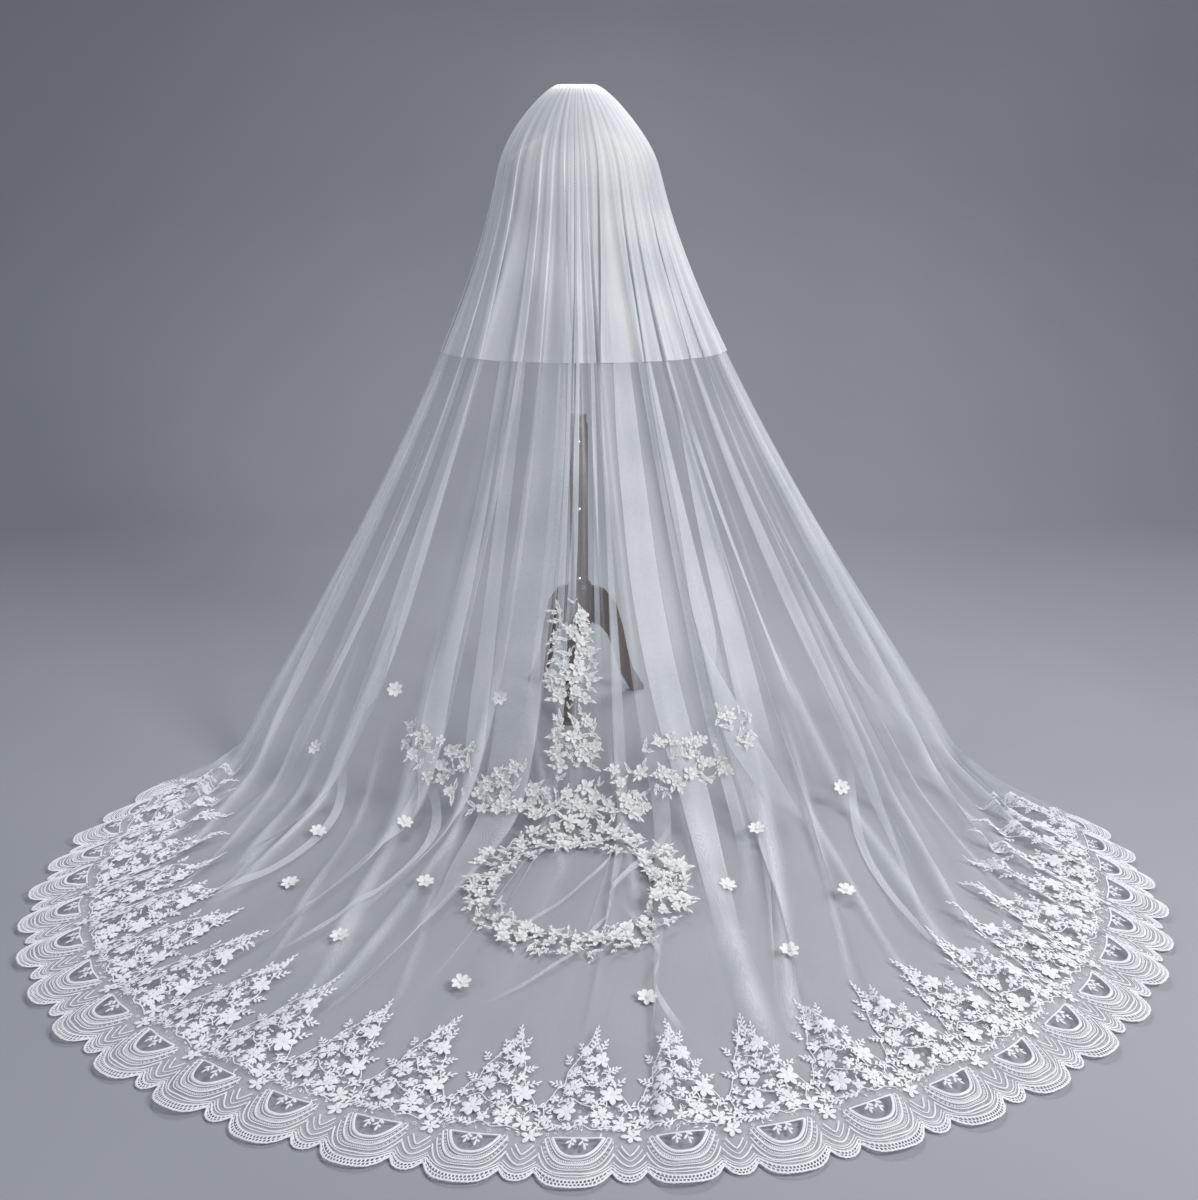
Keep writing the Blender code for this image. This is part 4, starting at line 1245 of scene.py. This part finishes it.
DAISIES = (
    (-0.44, -0.56, 0.262), (-0.179, -0.63, 0.266), (-0.64, -0.569, 0.112), (-0.396, -0.773, 0.0),
    (-0.319, -0.996, 0.0), (-0.596, -0.779, 0.0), (-0.613, -0.985, 0.0), (-0.464, -1.191, 0.0),
    (-0.205, -1.34, 0.0), (0.145, -1.372, 0.0), (0.429, -1.24, 0.0), (0.33, -0.999, 0.0),
    (0.417, -0.801, 0.0), (0.639, -0.64, 0.0), (0.579, -1.039, 0.0),
)
STEEP_HEIGHT = 0.09
DAISY_RADIUS = 0.020
DAISY_LIFT = 0.004
COLUMN_STEP = 0.020
GARLAND_STEP = 0.021
GARLAND_OFFSETS = (-0.026, -0.002, 0.020)
RING_STEPS = 56
RING_LAYERS = (-0.8, 0.0, 0.8)


def add_column(ground):
    bouquet = Bouquet(ground, 11)
    heights, middles, halves = (np.array(v) for v in zip(*COLUMN))
    z = heights[0] - 0.006
    while z < heights[-1]:
        middle, half = np.interp(z, heights, middles), np.interp(z, heights, halves)
        count = max(1, int(round(2 * half / 0.030)))
        for k in range(count):
            spot = 0.0 if count == 1 else -1 + 2 * k / (count - 1)
            x = middle + 0.66 * half * spot + bouquet.chance.uniform(-0.006, 0.006)
            size = bouquet.chance.uniform(0.012, 0.018) * min(1.0, 0.25 + half / 0.055)
            height = z + bouquet.chance.uniform(-0.006, 0.006)
            bouquet.cluster((x, CAST_BACK, height), INWARD, size, math.pi / 2 - spot)
        z += COLUMN_STEP
    return bouquet.finished("applique_column_flowers")


def add_garland(ground):
    bouquet = Bouquet(ground, 23)
    line = np.array(GARLAND)
    lengths = np.concatenate(((0,), np.cumsum(np.linalg.norm(np.diff(line, axis=0), axis=1))))
    for s in np.arange(0.004, lengths[-1], GARLAND_STEP):
        centre = np.array([np.interp(s, lengths, line[:, k]) for k in range(2)])
        for offset in GARLAND_OFFSETS:
            spot = centre + bouquet.chance.uniform(-0.010, 0.010, 2) + np.array((0, offset))
            size = bouquet.chance.uniform(0.010, 0.017)
            turn = bouquet.chance.uniform(0, FULL_TURN)
            bouquet.cluster((*spot, CAST_TOP), DOWN, size, turn)
    return bouquet.finished("applique_garland_flowers")


def add_ring(ground):
    """The ring is made of sprays that follow each other round, thinner where two of them meet."""
    bouquet = Bouquet(ground, 37)
    for k in range(RING_STEPS):
        fullness = 0.62 + 0.38 * abs(math.sin(math.pi * RING_SPRAYS * k / RING_STEPS))
        for layer in RING_LAYERS:
            angle = 2 * math.pi * (k + bouquet.chance.uniform(-0.4, 0.4)) / RING_STEPS
            spot = layer + bouquet.chance.uniform(-0.25, 0.25)
            radius = RING_MIDDLE + RING_HALF * fullness * spot
            x = RING_X + radius * math.cos(angle)
            y = RING_Y + radius * math.sin(angle)
            size = bouquet.chance.uniform(0.009, 0.015) * (0.6 + 0.4 * fullness)
            outward = angle if layer > 0 else angle + math.pi
            turn = angle + 1.2 if layer == 0.0 else outward
            turn = turn + bouquet.chance.uniform(-0.6, 0.6)
            bouquet.cluster((x, y, CAST_TOP), DOWN, size, turn)
    return bouquet.finished("applique_ring_flowers")


def add_daisies(ground):
    made = []
    for k, (x, y, height) in enumerate(DAISIES):
        bouquet = Bouquet(ground, 50 + k)
        steep = height > STEEP_HEIGHT
        above, behind = ((x, y, CAST_TOP), DOWN), ((x, CAST_BACK, height), INWARD)
        flower = daisy(DAISY_RADIUS, bouquet.chance)
        bouquet.sew(flower, *(behind if steep else above), 0.0, DAISY_LIFT)
        made.append(bouquet.finished(f"flower_{k + 1:02d}_petals"))
    return made


# The dress form and its stand

# Levels of the padded cover: height, half width, and depth to the back and the front
TORSO = (
    (1.0, 0.158, 0.108, 0.104), (1.012, 0.166, 0.116, 0.112), (1.07, 0.15, 0.108, 0.104),
    (1.14, 0.124, 0.09, 0.094), (1.21, 0.13, 0.096, 0.106), (1.29, 0.15, 0.11, 0.136),
    (1.37, 0.168, 0.118, 0.128), (1.425, 0.182, 0.114, 0.106), (1.463, 0.184, 0.104, 0.092),
    (1.49, 0.16, 0.094, 0.08), (1.515, 0.12, 0.082, 0.07), (1.542, 0.078, 0.068, 0.06),
    (1.572, 0.057, 0.058, 0.054), (1.622, 0.053, 0.054, 0.052),
)
TORSO_STEPS = 5
TORSO_SIDES = 96
SEAM_DEPTH = 0.0012
SEAM_WIDTH = 0.035


def add_torso():
    """The padded cover, with a sewn seam up its back, front and sides."""
    levels = smooth_line(TORSO, TORSO_STEPS)
    angle = 2 * np.pi * np.arange(TORSO_SIDES + 1) / TORSO_SIDES
    sine = np.sin(angle)
    grid = []
    for height, half_width, back, front in levels:
        blend = smooth_step(sine, -0.25, 0.25)
        depth = back + (front - back) * blend
        seam = SEAM_DEPTH * np.exp(-(np.sin(2 * angle) / SEAM_WIDTH) ** 2)
        grid.append(np.stack((
            (half_width - seam) * np.cos(angle), FORM_AXIS_Y + (depth - seam) * sine,
            np.full(TORSO_SIDES + 1, height),
        ), -1))
    cover = mesh_object("torso_cover", *grid_part(np.array(grid)))
    rim, centre = grid[0], np.array((0, FORM_AXIS_Y, 0))
    cap = [rim] + [rim * np.array((s, s, 1)) + centre * (1 - s) for s in (0.66, 0.33, 0.02)]
    base = mesh_object("torso_base", *grid_part(np.array(cap)), smooth=False)
    dress(cover, LINEN, "form_linen", "torso")
    dress(base, LINEN, "form_linen", "torso")
    return cover, base


FLAT_ANGLE = math.radians(1.0)
SHARP_ANGLE = math.radians(35)
SMOOTH_ANGLE = math.radians(50)
LEG_ROUNDING = 0.003
# Pieces that keep the frame's own mesh
PLAIN_PIECES = {
    "neck_cap": WOOD, "post": WOOD, "hub": WOOD, "rod": STEEL, "comb": PLASTIC,
    "screw_1": STEEL, "screw_2": STEEL, "screw_3": STEEL,
}


def add_leg(node):
    """A leg as in the CAD, with its edges rounded over."""
    source = bpy.data.objects[node]
    bm = bmesh.new()
    bm.from_mesh(source.data)
    bm.transform(source.matrix_world)
    bmesh.ops.remove_doubles(bm, verts=bm.verts[:], dist=1e-6)
    bmesh.ops.dissolve_limit(
        bm, angle_limit=FLAT_ANGLE, verts=bm.verts[:], edges=bm.edges[:],
    )
    folded = [e for e in bm.edges if len(e.link_faces) == 2]
    sharp = [e for e in folded if e.calc_face_angle() > SHARP_ANGLE]
    bmesh.ops.bevel(
        bm, geom=sharp, offset=LEG_ROUNDING, segments=3, affect="EDGES", profile=0.5,
        clamp_overlap=True,
    )
    mesh = bpy.data.meshes.new(f"{node}_board")
    bm.to_mesh(mesh)
    bm.free()
    mesh.shade_smooth()
    mesh.set_sharp_from_angle(angle=SMOOTH_ANGLE)
    dress(new_object(f"{node}_board", mesh), WOOD, "dark_wood", node)


def add_stand():
    for k in (1, 2, 3):
        add_leg(f"leg_{k}")
    for node, material in PLAIN_PIECES.items():
        for slot in bpy.data.objects[node].material_slots:
            slot.material = material


# The room, light and camera


FLOOR_NEAR = -7.0
FLOOR_FAR = 2.6
FLOOR_GAP = 0.0005
COVE_RADIUS = 1.4
ROOM_TOP = 6.0
ROOM_HALF = 9.0
LENS = 37.5
CAMERA_PLACE = (0.055, -3.325, 1.494)
CAMERA_PITCH = 19.7
# Lamps: where each hangs and points, its size, power and colour
LAMPS = {
    "key": ((2.9, -1.6, 3.0), (0.0, 0.0, 0.5), 1.6, 112, (1.0, 0.99, 0.97)),
    "fill": ((-3.2, -2.2, 2.2), (0.0, 0.0, 0.5), 2.2, 30, (0.93, 0.96, 1.0)),
    "top": ((0.2, 1.9, 3.4), (0.0, 0.2, 0.6), 1.6, 60, (1.0, 1.0, 1.0)),
}
SKY = (0.80, 0.85, 0.95, 1)
SKY_STRENGTH = 0.27


def add_room():
    look = Look("room_paper", {"Roughness": 0.85})
    look.colour(look.noise(0.8), (0.33, 0.34, 0.37), (0.36, 0.37, 0.40))
    profile = [(FLOOR_NEAR, 0.0), (FLOOR_FAR, 0.0)]
    for a in np.linspace(0.1, 1.57, 12):
        curve = COVE_RADIUS * math.sin(a), COVE_RADIUS - COVE_RADIUS * math.cos(a)
        profile.append((FLOOR_FAR + curve[0], curve[1]))
    profile.append((FLOOR_FAR + COVE_RADIUS, ROOM_TOP))
    points = [(x, y, z - FLOOR_GAP) for y, z in profile for x in (-ROOM_HALF, ROOM_HALF)]
    room = mesh_object("room", np.array(points) - AXIS, grid_faces(len(profile), 2))
    room.data.materials.append(look.material)


def add_light(name, place, target, size, power, colour):
    data = bpy.data.lights.new(name, "AREA")
    data.shape = "DISK"
    data.size = size
    data.energy = power
    data.color = colour
    lamp = new_object(name, data)
    lamp.location = place
    lamp.rotation_euler = (Vector(target) - Vector(place)).to_track_quat("-Z", "Y").to_euler()


def add_lights():
    for name, settings in LAMPS.items():
        add_light(name, *settings)
    world = bpy.data.worlds.new("studio")
    world.use_nodes = True
    background = world.node_tree.nodes["Background"]
    background.inputs["Color"].default_value = SKY
    background.inputs["Strength"].default_value = SKY_STRENGTH
    bpy.context.scene.world = world


def add_camera():
    data = bpy.data.cameras.new("camera")
    data.lens = LENS
    camera = new_object("camera", data)
    camera.location = Vector(CAMERA_PLACE) + Vector(AXIS)
    camera.rotation_euler = (math.radians(90 - CAMERA_PITCH), 0, 0)
    bpy.context.scene.camera = camera


def main():
    add_camera()
    long_net, panel = add_long_tier()
    short_net = add_short_tier()
    ground = Ground(panel, border_ground())
    drawings = [draw_repeat(seed) for seed in (3, 5, 8, 13)]
    lengths = (("lace_left", 0, 9), ("lace_front", 9, 19), ("lace_right", 19, REPEATS))
    laces = [add_lace(*length, drawings, ground) for length in lengths]
    dress(add_column(ground), PETAL, "applique", "applique_column")
    dress(add_garland(ground), PETAL, "applique", "applique_garland")
    dress(add_ring(ground), PETAL, "applique", "applique_ring")
    for k, flower in enumerate(add_daisies(ground)):
        dress(flower, PETAL, "applique", f"flower_{k + 1:02d}")
    add_torso()
    add_stand()
    add_room()
    add_lights()
    bpy.context.scene.cycles.transparent_max_bounces = 20
    bpy.context.scene.cycles.diffuse_bounces = 3
    bpy.context.scene.view_settings.view_transform = "Standard"


main()
